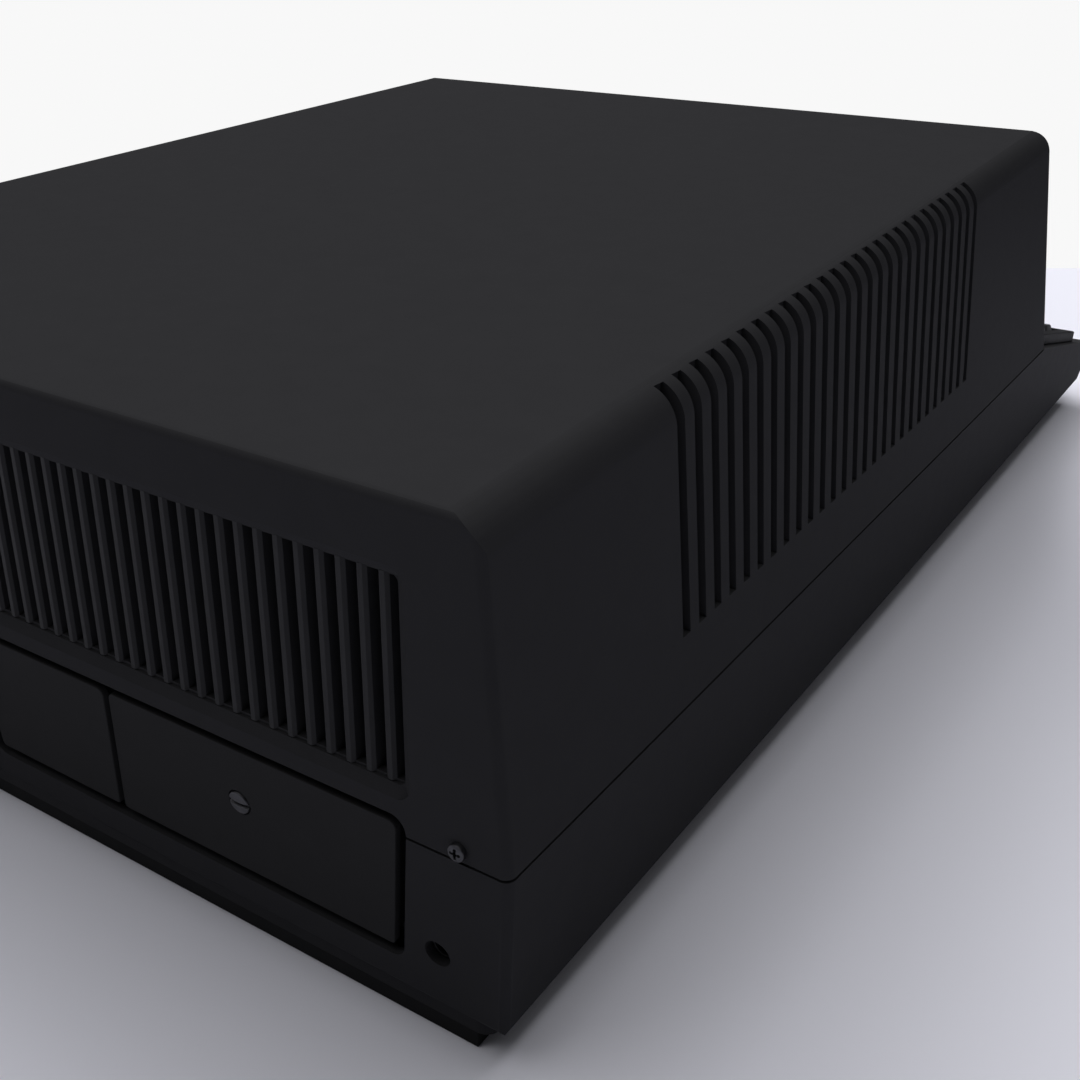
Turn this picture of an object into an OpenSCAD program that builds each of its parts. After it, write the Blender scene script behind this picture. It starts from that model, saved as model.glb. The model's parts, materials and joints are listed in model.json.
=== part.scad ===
// Home computer of the early kind: a tall box at the back with side vents and a
// rear grille, on a base that runs forward and carries the keyboard on a slope.
// Millimetres. The origin lies on the table under the middle of the machine,
// +Z is up, +Y points to the back and +X to the user's right.

/* [Case] */
// Width of the case at the seam
case_w = 402; // [396:1:430]
// Length of the upper shell along the seam
upper_len = 502; // [495:1:540]
// Height of the upper shell at the back
upper_h = 96; // [94:1:110]
// Height of the lower shell from its open bottom to the seam
lower_h = 58.9; // [57:0.1:66]
// Horizontal run of the keyboard deck in front of the seam
deck_run = 152.8; // [150:0.1:170]
// Wall of both shells
wall = 3; // [2.5:0.1:3.4]
// Radius of the long top edges
edge_r = 12; // [8:0.5:14]
// Radius of the upright corners and of the rear top edge
corner_r = 3; // [1:0.5:4]
// Radius of the nose under the front of the deck
nose_r = 5; // [2:0.5:8]
// Groove that shows at the seam, height and depth
seam_groove = 0.8; // [0.4:0.1:1.2]

/* [Slopes in degrees] */
// Rise of the top towards the front
top_angle = 2.25; // [0:0.25:4]
// Lean of the front face of the upper shell
front_lean = 12.75; // [5:0.25:16]
// Draft of the upper shell's sides
side_draft = 4.8; // [1:0.1:6]
// Draft of the upper shell's back
back_draft = 1.4; // [0.5:0.1:3]
// Draft of the lower shell's sides
lower_side_draft = 5.1; // [2:0.1:6]
// Draft of the lower shell's back
lower_back_draft = 4.5; // [2:0.1:5]
// Slope of the keyboard deck
deck_angle = 13.6; // [10:0.2:15]
// Lean of the face under the nose, from upright
nose_angle = 42; // [36:1:46]

/* [Side vents] */
// Number of vents in each side
vent_count = 27; // [10:1:27]
// Width of one vent
vent_w = 4.65; // [3:0.05:6]
// Distance from one vent to the next
vent_pitch = 10.12; // [9:0.02:11]
// Middle of the first vent behind the rear edge of the seam
vent_start = 94.5; // [80:0.5:110]
// Height of the vents' feet over the seam
vent_foot = 24.3; // [15:0.1:40]

/* [Rear grille] */
// Edge of the grille opening from the side of the case
grille_side = 30.4; // [25:0.1:50]
// Height of the opening's lower edge over the seam
grille_foot = 11.5; // [10:0.1:16]
// Height of the opening
grille_h = 66.6; // [50:0.1:68]
// Corner radius of the opening
grille_r = 5.3; // [3.5:0.1:8]
// Width of the bevel round the opening
grille_bevel = 3.1; // [1:0.1:3.3]
// Depth of that bevel
bevel_depth = 2; // [1:0.1:2.4]
// Number of fins
fin_count = 48; // [20:1:52]
// Width of one fin
fin_w = 3.4; // [2:0.1:4]
// Depth of the fins
fin_depth = 8.6; // [6:0.1:10]

/* [Rear recess and covers] */
// Left edge of the recess from the left side of the case, seen from the front
recess_in = 32.4; // [29:0.1:41]
// Width of the recess as a share of the case
recess_share = 0.461692; // [0.42:0.001:0.49]
// Height of the recess over the seam
recess_up = 6.1; // [4:0.1:6.8]
// Depth of the recess under the seam
recess_down = 47.6; // [40:0.1:50]
// Lean of the outer end of the recess and of the split between the covers
recess_draft = 7.6; // [4:0.1:9]
// Gap round the covers
cover_gap = 3; // [1:0.1:4]
// Gap at the outer end of the expansion cover
cover_end_gap = 3.7; // [1:0.1:5]
// Gap between the two covers
cover_split_gap = 2.5; // [1:0.1:3]
// Thickness of the covers
cover_t = 2.5; // [2:0.1:3]
// How far the covers lie behind the face
cover_set = 0.8; // [0.5:0.1:1.2]
// Width of the port cover as a share of the recess
port_cover_share = 0.352909; // [0.3:0.001:0.4]
// Corner radius of the covers
cover_r = 2.6; // [2:0.1:4]
// How far a cover pulls off
cover_travel = 18; // [10:1:25]

/* [Base] */
// Height of the foot strips
foot_h = 5.6; // [4:0.1:8]
// Depth of the foot strips, front to back
foot_depth = 16; // [10:0.5:20]
// Height of the steel pan
pan_h = 5.5; // [5:0.1:8]
// Sheet of the pan
pan_t = 1.5; // [1:0.1:2]

/* [Keyboard] */
// Rows of keys
key_rows = 5; // [5:1:5]
// Keys across the main field
field_keys = 15; // [15:1:15]
// Keys across the number pad
pad_keys = 4; // [4:1:4]
// Space between the main field and the number pad
field_gap = 8; // [4:0.5:9]
// Gap between neighbouring caps
cap_gap = 1.05; // [0.8:0.05:1.5]
// Height of a cap
cap_h = 10; // [8:0.5:11]
// Travel of a key
key_travel = 3.8; // [2:0.1:4]
// Height of the keyboard bezel over the deck
bezel_rise = 6.2; // [4:0.1:7]
// Border of the bezel in front of and behind the keys
bezel_border = 8; // [6:0.5:10]

/* [Disk drive] */
// Middle of the drive from the right side of the case
drive_in = 106; // [103:1:116]
// Width of the drive
drive_w = 146; // [140:1:148]
// Height of the drive
drive_h = 83; // [80:1:84]
// Length of the drive
drive_len = 190; // [150:1:200]
// Height of the disk slot
slot_h = 6; // [5.4:0.1:7]
// Width of the disk slot
slot_w = 134; // [130:1:136]

/* [Sockets and fan] */
// Radius of the round socket's bore
jack_r = 3.3; // [2.5:0.1:3.4]
// Depth of the round socket's bore
jack_depth = 30; // [20:1:34]
// Side of the square fan frame
fan_side = 80; // [70:1:82]
// Depth of the fan frame
fan_depth = 25; // [15:1:28]

/* [Hidden] */
$fn = 48;

// Overrun of every cut past the face it goes through
over = 1;
// Running gap between pieces that move past each other
clear = 0.3;
// Gap between fixed pieces that lie side by side
fit_gap = 0.2;

// Distance from key to key: the share of the case that gives 19.05 at 402
key_pitch_share = 0.0473880597;
key_pitch = case_w * key_pitch_share;

// Heights
pan_floor_z = foot_h + pan_t;
pan_top_z = foot_h + pan_h;
seam_z = pan_top_z + lower_h;
// Bevel at the bottom of the lower shell
base_bevel_h = 1.8;
base_bevel_in = 1;
// Flange inside the bottom of the lower shell
flange_w = 12;

// Screws that hold the shells, standing proud just over the seam
screw_head_r = 2.6;
screw_head_h = 2;
screw_shank_r = 1.4;
screw_len = 9;
screw_side = 15.4;
screw_up = 4;

// Nose: the sharp vertex in front, seen from the rear edge of the seam
nose_half = (deck_angle + 90 - nose_angle) / 2;
nose_bisector = (deck_angle - 90 + nose_angle) / 2;
nose_tip = upper_len + deck_run - nose_r * (cos(nose_bisector) / sin(nose_half) - 1);
drive_x = case_w / 2 - drive_in;
// Rear edge of the seam and front edge of the upper shell, centred with the screw heads
screw_proud = screw_head_h * cos(back_draft) - (screw_up - screw_head_r) * sin(back_draft);
back_y = (nose_tip - screw_proud) / 2;
front_y = back_y - upper_len;
nose_y = front_y - deck_run;
nose_z = seam_z - deck_run * tan(deck_angle);

// Faces of the upper shell, each with an inset for the inner form
function upper_side_x(z, inset = 0) =
    case_w / 2 - (z - seam_z) * tan(side_draft) - inset / cos(side_draft);
function upper_back_y(z, inset = 0) =
    back_y - (z - seam_z) * tan(back_draft) - inset / cos(back_draft);
function upper_front_y(z, inset = 0) =
    front_y + (z - seam_z) * tan(front_lean) + inset / cos(front_lean);
function top_z(y, inset = 0) =
    seam_z + upper_h + (back_y - y) * tan(top_angle) - inset / cos(top_angle);
// Heights of the top's rear and front edges, where the faces above meet
function rear_top_z(inset = 0) = seam_z
    + (upper_h - inset / cos(top_angle) + inset / cos(back_draft) * tan(top_angle))
    / (1 - tan(back_draft) * tan(top_angle));
function front_top_z(inset = 0) = seam_z
    + (upper_h - inset / cos(top_angle)
    + (upper_len - inset / cos(front_lean)) * tan(top_angle))
    / (1 + tan(front_lean) * tan(top_angle));
// Faces of the lower shell
function lower_side_x(z, inset = 0) =
    case_w / 2 - (seam_z - z) * tan(lower_side_draft) - inset / cos(lower_side_draft);
function lower_back_y(z, inset = 0) =
    back_y - (seam_z - z) * tan(lower_back_draft) - inset / cos(lower_back_draft);
function nose_at(inset) = [nose_y + inset / sin(nose_half) * cos(nose_bisector),
    nose_z + inset / sin(nose_half) * sin(nose_bisector)];
function under_nose_y(z, inset = 0) =
    nose_at(inset)[0] + (nose_at(inset)[1] - z) * tan(nose_angle);
function deck_y(z, inset = 0) =
    nose_at(inset)[0] + (z - nose_at(inset)[1]) / tan(deck_angle);

// Draws a profile in the YZ plane and runs it along X, centred
module along_x(length) {
    rotate([90, 0, 90]) linear_extrude(length, center = true) children();
}

// Draws a section in the XZ plane and runs it along Y, centred
module along_y(length) {
    rotate([90, 0, 0]) linear_extrude(length, center = true) children();
}

// Local frames: y points out of the rear faces and into the front face
module on_upper_back() {
    translate([0, back_y, seam_z]) rotate([back_draft, 0, 0]) children();
}

module on_lower_back() {
    translate([0, back_y, seam_z]) rotate([-lower_back_draft, 0, 0]) children();
}

module on_front() {
    translate([0, front_y, seam_z]) rotate([-front_lean, 0, 0]) children();
}

module on_deck() {
    translate([0, front_y, seam_z]) rotate([deck_angle, 0, 0]) children();
}

// Takes a convex corner at the origin off to a round of radius r. The corner's
// edges leave the origin at the angles from and to. The round stands proud of
// both edges by the ease, so that it crosses them.
ease = 0.01;

module corner_cut(from, to, r) {
    half = (to - from) / 2;
    middle = (from + to) / 2;
    centre = (r - ease) / sin(half) * [cos(middle), sin(middle)];
    if (r > ease)
        difference() {
            polygon([-over * [cos(middle), sin(middle)],
                (r - ease) / tan(half) * [cos(from), sin(from)], centre,
                (r - ease) / tan(half) * [cos(to), sin(to)]]);
            translate(centre) circle(r);
        }
}

// How far a corner between two leaning faces opens past a right angle
function corner_skew(draft_a, draft_b) = asin(sin(draft_a) * sin(draft_b));

module round_rect(width, length, r) {
    square([width - 2 * r, length], center = true);
    square([width, length - 2 * r], center = true);
    for (x = [-1, 1], y = [-1, 1])
        translate([x * (width / 2 - r), y * (length / 2 - r)]) circle(r);
}

// A slot with round ends
module stadium(width, height) {
    square([width - height, height], center = true);
    for (x = [-1, 1]) translate([x * (width - height) / 2, 0]) circle(height / 2);
}

module block(low, high) {
    translate(low) cube(high - low);
}

module both_sides() {
    children();
    mirror([1, 0, 0]) children();
}

// Upper shell's solid form, inset on every face but the seam
module upper_profile(inset, below) {
    rear_z = rear_top_z(inset);
    front_z = front_top_z(inset);
    foot_z = seam_z - below;
    difference() {
        polygon([[upper_back_y(foot_z, inset), foot_z], [upper_back_y(rear_z, inset), rear_z],
            [upper_front_y(front_z, inset), front_z], [upper_front_y(foot_z, inset), foot_z]]);
        translate([upper_back_y(rear_z, inset), rear_z])
            corner_cut(180 - top_angle, 270 + back_draft, corner_r - inset);
        translate([upper_front_y(front_z, inset), front_z])
            corner_cut(-90 - front_lean, -top_angle, corner_r - inset);
    }
}

module upper_section(inset, below) {
    foot_z = seam_z - below;
    head_z = seam_z + 2 * upper_h;
    polygon([[-upper_side_x(foot_z, inset), foot_z], [upper_side_x(foot_z, inset), foot_z],
        [upper_side_x(head_z, inset), head_z], [-upper_side_x(head_z, inset), head_z]]);
}

// Takes off the long top edge of the right side, which follows top and draft
module top_edge_cut(inset) {
    rear_z = rear_top_z(inset);
    yaw = atan(tan(side_draft) * sin(top_angle));
    side_angle = atan2(cos(top_angle) * sin(side_draft),
        cos(yaw) * cos(side_draft) + sin(yaw) * sin(top_angle) * sin(side_draft));
    translate([upper_side_x(rear_z, inset), upper_back_y(rear_z, inset), rear_z])
        rotate([90 - top_angle, 0, 0]) rotate([0, -yaw, 0])
            translate([0, 0, -edge_r])
                linear_extrude(upper_len + 2 * edge_r)
                    corner_cut(180, 270 + side_angle, edge_r - inset);
}

// Takes off an upright corner of the right side, rear and front
module upper_corner_cuts(inset) {
    translate([upper_side_x(seam_z, inset), upper_back_y(seam_z, inset), seam_z])
        rotate([atan(tan(back_draft) * cos(side_draft)), -side_draft, 0])
            translate([0, 0, -edge_r]) linear_extrude(2 * upper_h)
                corner_cut(180 - corner_skew(side_draft, back_draft), 270, corner_r - inset);
    translate([upper_side_x(seam_z, inset), upper_front_y(seam_z, inset), seam_z])
        rotate([-atan(tan(front_lean) * cos(side_draft)), -side_draft, 0])
            translate([0, 0, -edge_r]) linear_extrude(2 * upper_h)
                corner_cut(90, 180 + corner_skew(side_draft, front_lean), corner_r - inset);
}

module upper_form(inset = 0, below = 0) {
    difference() {
        intersection() {
            along_x(2 * case_w) upper_profile(inset, below);
            along_y(2 * nose_tip) upper_section(inset, below);
        }
        both_sides() top_edge_cut(inset);
        both_sides() upper_corner_cuts(inset);
    }
}

// Height and inner edge of a vent's head: two eighths of the edge round stay whole
vent_head_share = 0.25;
vent_head_angle = vent_head_share * (90 - side_draft);
edge_tangent = edge_r / tan((90 + side_draft) / 2);
vent_head_x = upper_side_x(rear_top_z()) - edge_tangent + edge_r * sin(vent_head_angle);
vent_head_drop = edge_r * (1 - cos(vent_head_angle));
vent_undercut = 0.8;

module side_vents() {
    for (i = [0 : vent_count - 1]) {
        y = back_y - vent_start - i * vent_pitch;
        block([vent_head_x - vent_undercut, y - vent_w / 2, seam_z + vent_foot],
            [case_w / 2 + over, y + vent_w / 2, top_z(y) - vent_head_drop]);
    }
}

// Grille opening in the local frame of the upper back
grille_w = case_w - 2 * grille_side;
grille_mid = grille_foot + grille_h / 2;
grille_inner_w = grille_w - 2 * grille_bevel;
grille_inner_h = grille_h - 2 * grille_bevel;

module upright_rect(width, height, r, y0, y1) {
    translate([0, y1, 0]) rotate([90, 0, 0]) linear_extrude(y1 - y0) round_rect(width, height, r);
}

module grille_opening() {
    translate([0, 0, grille_mid]) {
        upright_rect(grille_inner_w, grille_inner_h, grille_r - grille_bevel, -wall - over, over);
        intersection() {
            linear_extrude(2 * grille_h, center = true)
                polygon([[-grille_w / 2, 0], [-grille_inner_w / 2, -bevel_depth],
                    [grille_inner_w / 2, -bevel_depth], [grille_w / 2, 0],
                    [grille_w / 2, over], [-grille_w / 2, over]]);
            along_x(2 * grille_w)
                polygon([[0, -grille_h / 2], [-bevel_depth, -grille_inner_h / 2],
                    [-bevel_depth, grille_inner_h / 2], [0, grille_h / 2],
                    [over, grille_h / 2], [over, -grille_h / 2]]);
            upright_rect(grille_w, grille_h, grille_r, -wall, over);
        }
    }
}

// Recess for the covers, its outer end leaning inwards under the seam
recess_w = case_w * recess_share;
port_cover_w = recess_w * port_cover_share;
recess_x0 = case_w / 2 - recess_in;
recess_x1 = recess_w - recess_x0;
recess_lean = recess_down * tan(recess_draft);
recess_r = 2 * cover_r;

module recess_outline(grow, r) {
    top = recess_up + grow;
    foot = -recess_down - grow;
    left = -recess_x0 - grow;
    right = recess_x1 + grow;
    difference() {
        polygon([[left, top], [left, 0], [left + recess_lean, foot], [right, foot], [right, top]]);
        translate([left, top]) corner_cut(270, 360, r);
        translate([left + recess_lean, foot]) corner_cut(0, 90 + recess_draft, r);
        translate([right, foot]) corner_cut(90, 180, r);
        translate([right, top]) corner_cut(180, 270, r);
    }
}

module recess_cut() {
    translate([0, over, 0]) rotate([90, 0, 0])
        linear_extrude(wall + 3 * over) recess_outline(0, recess_r);
}

// Front opening of the upper shell and the panel in it
panel_side = 22;
panel_foot = 8;
panel_head = 10;
panel_r = 4;
panel_set = 1;
panel_t = 3;
face_h = (front_top_z() - seam_z) / cos(front_lean);
panel_w = case_w - 2 * panel_side;
panel_h = face_h - panel_foot - panel_head;
panel_mid = panel_foot + panel_h / 2;

module upper_shell() {
    color([0.13, 0.13, 0.14])
        difference() {
            upper_form();
            upper_form(wall, over);
            both_sides() side_vents();
            on_upper_back() grille_opening();
            on_lower_back() recess_cut();
            on_front() translate([0, 0, panel_mid])
                upright_rect(panel_w, panel_h, panel_r, -over, wall + over);
            difference() {
                block([-case_w, nose_y, seam_z - over], [case_w, back_y + over, seam_z + seam_groove]);
                upper_form(seam_groove, 2 * over);
            }
            on_upper_back() both_sides()
                translate([case_w / 2 - screw_side, 0, screw_up]) rotate([90, 0, 0])
                    cylinder(h = 2 * (wall + over), r = screw_shank_r, center = true);
        }
}

// Lower shell's solid form
module lower_profile(inset, above) {
    head_z = seam_z + above;
    foot_z = pan_top_z + inset;
    bevel_z = pan_top_z + base_bevel_h;
    bevel_in = inset > 0 ? 0 : base_bevel_in;
    difference() {
        polygon([[lower_back_y(head_z, inset), head_z], [lower_back_y(bevel_z, inset), bevel_z],
            [lower_back_y(bevel_z, inset) - bevel_in, foot_z], [under_nose_y(foot_z, inset), foot_z],
            nose_at(inset), [deck_y(head_z, inset), head_z]]);
        translate(nose_at(inset))
            corner_cut(nose_angle - 90, deck_angle, nose_r - inset);
    }
}

module lower_section(inset, above) {
    head_z = seam_z + above;
    foot_z = pan_top_z + inset;
    bevel_z = pan_top_z + base_bevel_h;
    bevel_in = inset > 0 ? 0 : base_bevel_in;
    head_x = lower_side_x(head_z, inset);
    bevel_x = lower_side_x(bevel_z, inset);
    polygon([[-head_x, head_z], [head_x, head_z], [bevel_x, bevel_z], [bevel_x - bevel_in, foot_z],
        [bevel_in - bevel_x, foot_z], [-bevel_x, bevel_z]]);
}

module lower_form(inset = 0, above = 0) {
    difference() {
        intersection() {
            along_x(2 * case_w) lower_profile(inset, above);
            along_y(2 * nose_tip) lower_section(inset, above);
        }
        both_sides()
            translate([lower_side_x(seam_z, inset), lower_back_y(seam_z, inset), seam_z])
                rotate([-atan(tan(lower_back_draft) * cos(lower_side_draft)), lower_side_draft, 0])
                    translate([0, 0, -2 * lower_h]) linear_extrude(3 * lower_h)
                        corner_cut(180 - corner_skew(lower_side_draft, lower_back_draft), 270,
                            corner_r - inset);
    }
}

// Keyboard in the local frame of the deck: x across, y up the slope, z out of it
bezel_back = -3;
key_field_l = key_rows * key_pitch;
bezel_l = key_field_l + 2 * bezel_border;
bezel_side = 7.2;
bezel_w = case_w - 2 * bezel_side;
bezel_mid = bezel_back - bezel_l / 2;
key_well_gap = 0.8;
keys_w = (field_keys + pad_keys) * key_pitch + field_gap;
well_w = keys_w + 2 * key_well_gap;
well_l = key_field_l + 2 * key_well_gap;
keys_x = -keys_w / 2;
keys_y = bezel_back - bezel_border;
// Switch plate and board under the deck
plate_t = 1.5;
plate_top = -10;
switch_top = -6;
board_t = 1.6;
key_board_top = -17;
plate_lap = 8;
deck_boss_r = 4;
deck_boss_in = 3.6;
pilot_r = 1.2;

// Fittings in the lower back, all on one line
fitting_z = -30;
jack_in = 26.2;
jack_x = jack_in - case_w / 2;
jack_z = -38.4;
jack_hole_r = 4.3;
inlet_in = 51;
inlet_x = case_w / 2 - inlet_in;
inlet_w = 27.4;
inlet_h = 19.8;
switch_in = 99;
switch_x = case_w / 2 - switch_in;
switch_w = 13;
switch_h = 22;
fuse_in = 133;
fuse_x = case_w / 2 - fuse_in;
fuse_r = 6;

// Screws through the pan into the flange
base_screw_head_r = 3.2;
base_screw_head_h = 1.8;
base_screw_rows_share = [0.12, 0.5, 0.88];
flange_x = lower_side_x(pan_top_z) - wall - flange_w;
base_screw_x = flange_x + flange_w / 4;
bottom_back = lower_back_y(pan_top_z + wall, wall);
bottom_front = under_nose_y(pan_top_z + wall, wall) + flange_w;

function base_screw_y(share) = bottom_front + share * (bottom_back - bottom_front);

module base_screw_places() {
    for (side = [-1, 1], share = base_screw_rows_share)
        translate([side * base_screw_x, base_screw_y(share), 0]) children();
}

module deck_bosses(r, z0, z1) {
    for (x = [-1, 0, 1], y = [-1, 1])
        translate([x * (well_w / 2 - 2 * plate_lap),
            bezel_mid + y * (well_l / 2 + deck_boss_in), z0])
            cylinder(h = z1 - z0, r = r);
}

module lower_shell() {
    color([0.12, 0.12, 0.13])
        difference() {
            union() {
                difference() {
                    lower_form();
                    lower_form(wall, over);
                    block([-flange_x, bottom_front, pan_top_z - over],
                        [flange_x, bottom_back, pan_top_z + wall + over]);
                }
                on_deck() deck_bosses(deck_boss_r, plate_top, -wall / 2);
            }
            on_deck() translate([-well_w / 2, bezel_mid - well_l / 2, -wall - over])
                cube([well_w, well_l, wall + 2 * over]);
            on_deck() deck_bosses(pilot_r, plate_top - over, -wall);
            on_lower_back() recess_cut();
            on_lower_back() translate([jack_x, -wall - over, jack_z]) rotate([-90, 0, 0])
                cylinder(h = wall + 2 * over, r = jack_hole_r);
            on_lower_back() translate([inlet_x, 0, fitting_z])
                upright_rect(inlet_w + 2 * fit_gap, inlet_h + 2 * fit_gap, wall / 2, -wall - over, over);
            on_lower_back() translate([switch_x, 0, fitting_z])
                upright_rect(switch_w + 2 * fit_gap, switch_h + 2 * fit_gap, wall / 2, -wall - over, over);
            on_lower_back() translate([fuse_x, -wall - over, fitting_z]) rotate([-90, 0, 0])
                cylinder(h = wall + 2 * over, r = fuse_r + fit_gap);
            base_screw_places() translate([0, 0, pan_top_z - over])
                cylinder(h = wall + 2 * over, r = screw_shank_r);
        }
}

// Steel pan, seen at the back as a band over the foot strip
pan_r = 5.2;
pan_back_in = 0.8;
pan_side_in = 4.9;
pan_w = 2 * (lower_side_x(pan_top_z + base_bevel_h) - base_bevel_in - pan_side_in);
pan_back = lower_back_y(pan_top_z + base_bevel_h) - base_bevel_in - pan_back_in;
pan_front_in = 6;
pan_front = under_nose_y(pan_top_z) + pan_front_in;
pan_l = pan_back - pan_front;
pan_mid = (pan_back + pan_front) / 2;

module base_pan() {
    color([0.10, 0.10, 0.11])
        difference() {
            translate([0, pan_mid, foot_h]) linear_extrude(pan_h) round_rect(pan_w, pan_l, pan_r);
            translate([0, pan_mid, pan_floor_z]) linear_extrude(pan_h)
                round_rect(pan_w - 2 * pan_t, pan_l - 2 * pan_t, pan_r - pan_t);
            base_screw_places() cylinder(h = pan_top_z, r = screw_shank_r + fit_gap);
        }
}

// Rubber strips under the front and the rear edge
foot_strip_end = 4.8;
foot_strip_r = 0.4;
foot_strip_w = pan_w - 2 * foot_strip_end;

module foot_strip() {
    color([0.07, 0.07, 0.07]) linear_extrude(foot_h) round_rect(foot_strip_w, foot_depth, foot_strip_r);
}

module rear_foot_strip() {
    translate([0, pan_back - foot_depth / 2, 0]) foot_strip();
}

module front_foot_strip() {
    translate([0, pan_front + foot_depth, 0]) foot_strip();
}

// Grille insert: upright bevelled fins on a frame behind the rear wall
fin_chamfer = 0.9;
fin_gap = (grille_inner_w - fin_count * fin_w) / (fin_count + 1);
fin_front = -bevel_depth - fit_gap;
fin_back = fin_front - fin_depth;
grille_lap = 5;
grille_frame_t = 2.5;
fin_h = grille_inner_h - 2 * fit_gap;

module fin() {
    half = fin_w / 2;
    linear_extrude(fin_h, center = true)
        polygon([[-half, fin_back], [half, fin_back], [half, fin_front - fin_chamfer],
            [half - fin_chamfer, fin_front], [fin_chamfer - half, fin_front],
            [-half, fin_front - fin_chamfer]]);
}

module rear_grille() {
    color([0.17, 0.17, 0.18])
        on_upper_back() translate([0, 0, grille_mid]) {
            for (i = [0 : fin_count - 1])
                translate([-grille_inner_w / 2 + fin_gap * (i + 1) + fin_w * (i + 1 / 2), 0, 0]) fin();
            difference() {
                upright_rect(grille_inner_w + 2 * grille_lap, grille_inner_h + 2 * grille_lap,
                    grille_r, -wall - grille_frame_t, -wall);
                upright_rect(grille_inner_w - 2 * fit_gap, grille_inner_h - 4 * fit_gap - over,
                    over, -wall - grille_frame_t - over, over - wall);
            }
        }
}

// Rear plate behind the covers, with the fastener's hole and the port cut-outs
rear_plate_t = 1.2;
rear_plate_y = -9;
rear_plate_lap = 2.5;
rear_plate_up = 12;
rear_plate_foot = 14;
// The expansion cover runs from the left edge of the recess to the port cover
cover_end = recess_x1 - port_cover_w - cover_gap - cover_split_gap;
fastener_right = 6.8;
fastener_x = (cover_end - recess_x0) / 2 + fastener_right;
fastener_z = -17.2;
fastener_shank_r = 2.4;
fastener_head_r = 3.9;
fastener_head_h = 1.6;
fastener_seat = 1;
fastener_slot_w = 1.2;
fastener_slot_d = 0.9;
fastener_len = 6;
port_w = 38;
port_h = 10.5;
port_flange_w = 49;
port_flange_h = 12.5;
port_places_share = [0.276, 0.773];
port_x = [for (share = port_places_share) share * (cover_end + recess_x0) - recess_x0];
port_z = [-30, -30];
port_y = 6.8;

// Upright sheet with a foot on the pan, in the plane of the shared axes
module rear_plate_profile() {
    difference() {
        translate([back_y, seam_z]) rotate(-lower_back_draft) {
            translate([rear_plate_y - rear_plate_t, -2 * lower_h])
                square([rear_plate_t, 2 * lower_h + rear_plate_up]);
        }
        translate([0, pan_floor_z - 2 * lower_h]) square([2 * back_y, 2 * lower_h]);
    }
    translate([rear_flange_y, pan_floor_z]) square([rear_plate_foot, rear_plate_t]);
}

module rear_plate() {
    width = recess_x0 + recess_x1 - 2 * rear_plate_lap;
    color([0.62, 0.63, 0.64])
        difference() {
            translate([(recess_x1 - recess_x0) / 2, 0, 0]) along_x(width) rear_plate_profile();
            on_lower_back() for (i = [0, 1])
                translate([port_x[i], 0, port_z[i]])
                    upright_rect(port_w + 2 * fit_gap, port_h + 2 * fit_gap, over,
                        rear_plate_y - 2 * rear_plate_t, rear_plate_y + over);
            on_lower_back() translate([fastener_x, rear_plate_y - 2 * rear_plate_t, fastener_z])
                rotate([-90, 0, 0]) cylinder(h = 4 * rear_plate_t, r = fastener_shank_r + clear);
        }
}
rear_flange_y = back_y + rear_plate_y - (seam_z - pan_floor_z) * sin(lower_back_draft)
    - rear_plate_foot - rear_plate_t / 2;

// Covers: a plate with a rim behind it that lands on the rear plate
cover_top = recess_up - cover_gap;
cover_foot = -recess_down + cover_gap;
cover_left = -recess_x0 + cover_end_gap;
cover_right = recess_x1 - cover_gap;
cover_split = cover_right - port_cover_w;
cover_rim_t = 1.5;
cover_rim_in = 1.5;

module cover_outline(left_top, left_foot, right_top, right_foot, in) {
    left_lean = atan((left_foot - left_top) / (cover_top - cover_foot));
    right_lean = atan((right_foot - right_top) / (cover_top - cover_foot));
    foot_r = (cover_r - in) / 2;
    difference() {
        polygon([[left_top + in, cover_top - in], [left_foot + in, cover_foot + in],
            [right_foot - in, cover_foot + in], [right_top - in, cover_top - in]]);
        translate([left_top + in, cover_top - in]) corner_cut(270 + left_lean, 360, cover_r - in);
        translate([left_foot + in, cover_foot + in]) corner_cut(0, 90 + left_lean, foot_r);
        translate([right_foot - in, cover_foot + in]) corner_cut(90 + right_lean, 180, foot_r);
        translate([right_top - in, cover_top - in]) corner_cut(180, 270 + right_lean, cover_r - in);
    }
}

module cover_body(left_top, left_foot, right_top, right_foot) {
    translate([0, -cover_set, 0]) rotate([90, 0, 0])
        linear_extrude(cover_t) cover_outline(left_top, left_foot, right_top, right_foot, 0);
    translate([0, -cover_set - cover_t, 0]) rotate([90, 0, 0])
        linear_extrude(-rear_plate_y - clear - cover_set - cover_t)
            difference() {
                cover_outline(left_top, left_foot, right_top, right_foot, cover_rim_in);
                cover_outline(left_top, left_foot, right_top, right_foot,
                    cover_rim_in + cover_rim_t);
            }
}

module expansion_cover() {
    color([0.13, 0.13, 0.14])
        on_lower_back() difference() {
            cover_body(cover_left, cover_left + recess_lean, cover_split - cover_split_gap,
                cover_split - cover_split_gap + recess_lean);
            translate([fastener_x, -cover_set - 2 * cover_t, fastener_z]) rotate([-90, 0, 0])
                cylinder(h = 3 * cover_t, r = fastener_shank_r + clear);
            translate([fastener_x, -cover_set - fastener_seat, fastener_z]) rotate([-90, 0, 0])
                cylinder(h = 2 * cover_t, r = fastener_head_r + clear);
        }
}

module port_cover() {
    color([0.13, 0.13, 0.14])
        on_lower_back() cover_body(cover_split, cover_split + recess_lean, cover_right, cover_right);
}

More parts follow.
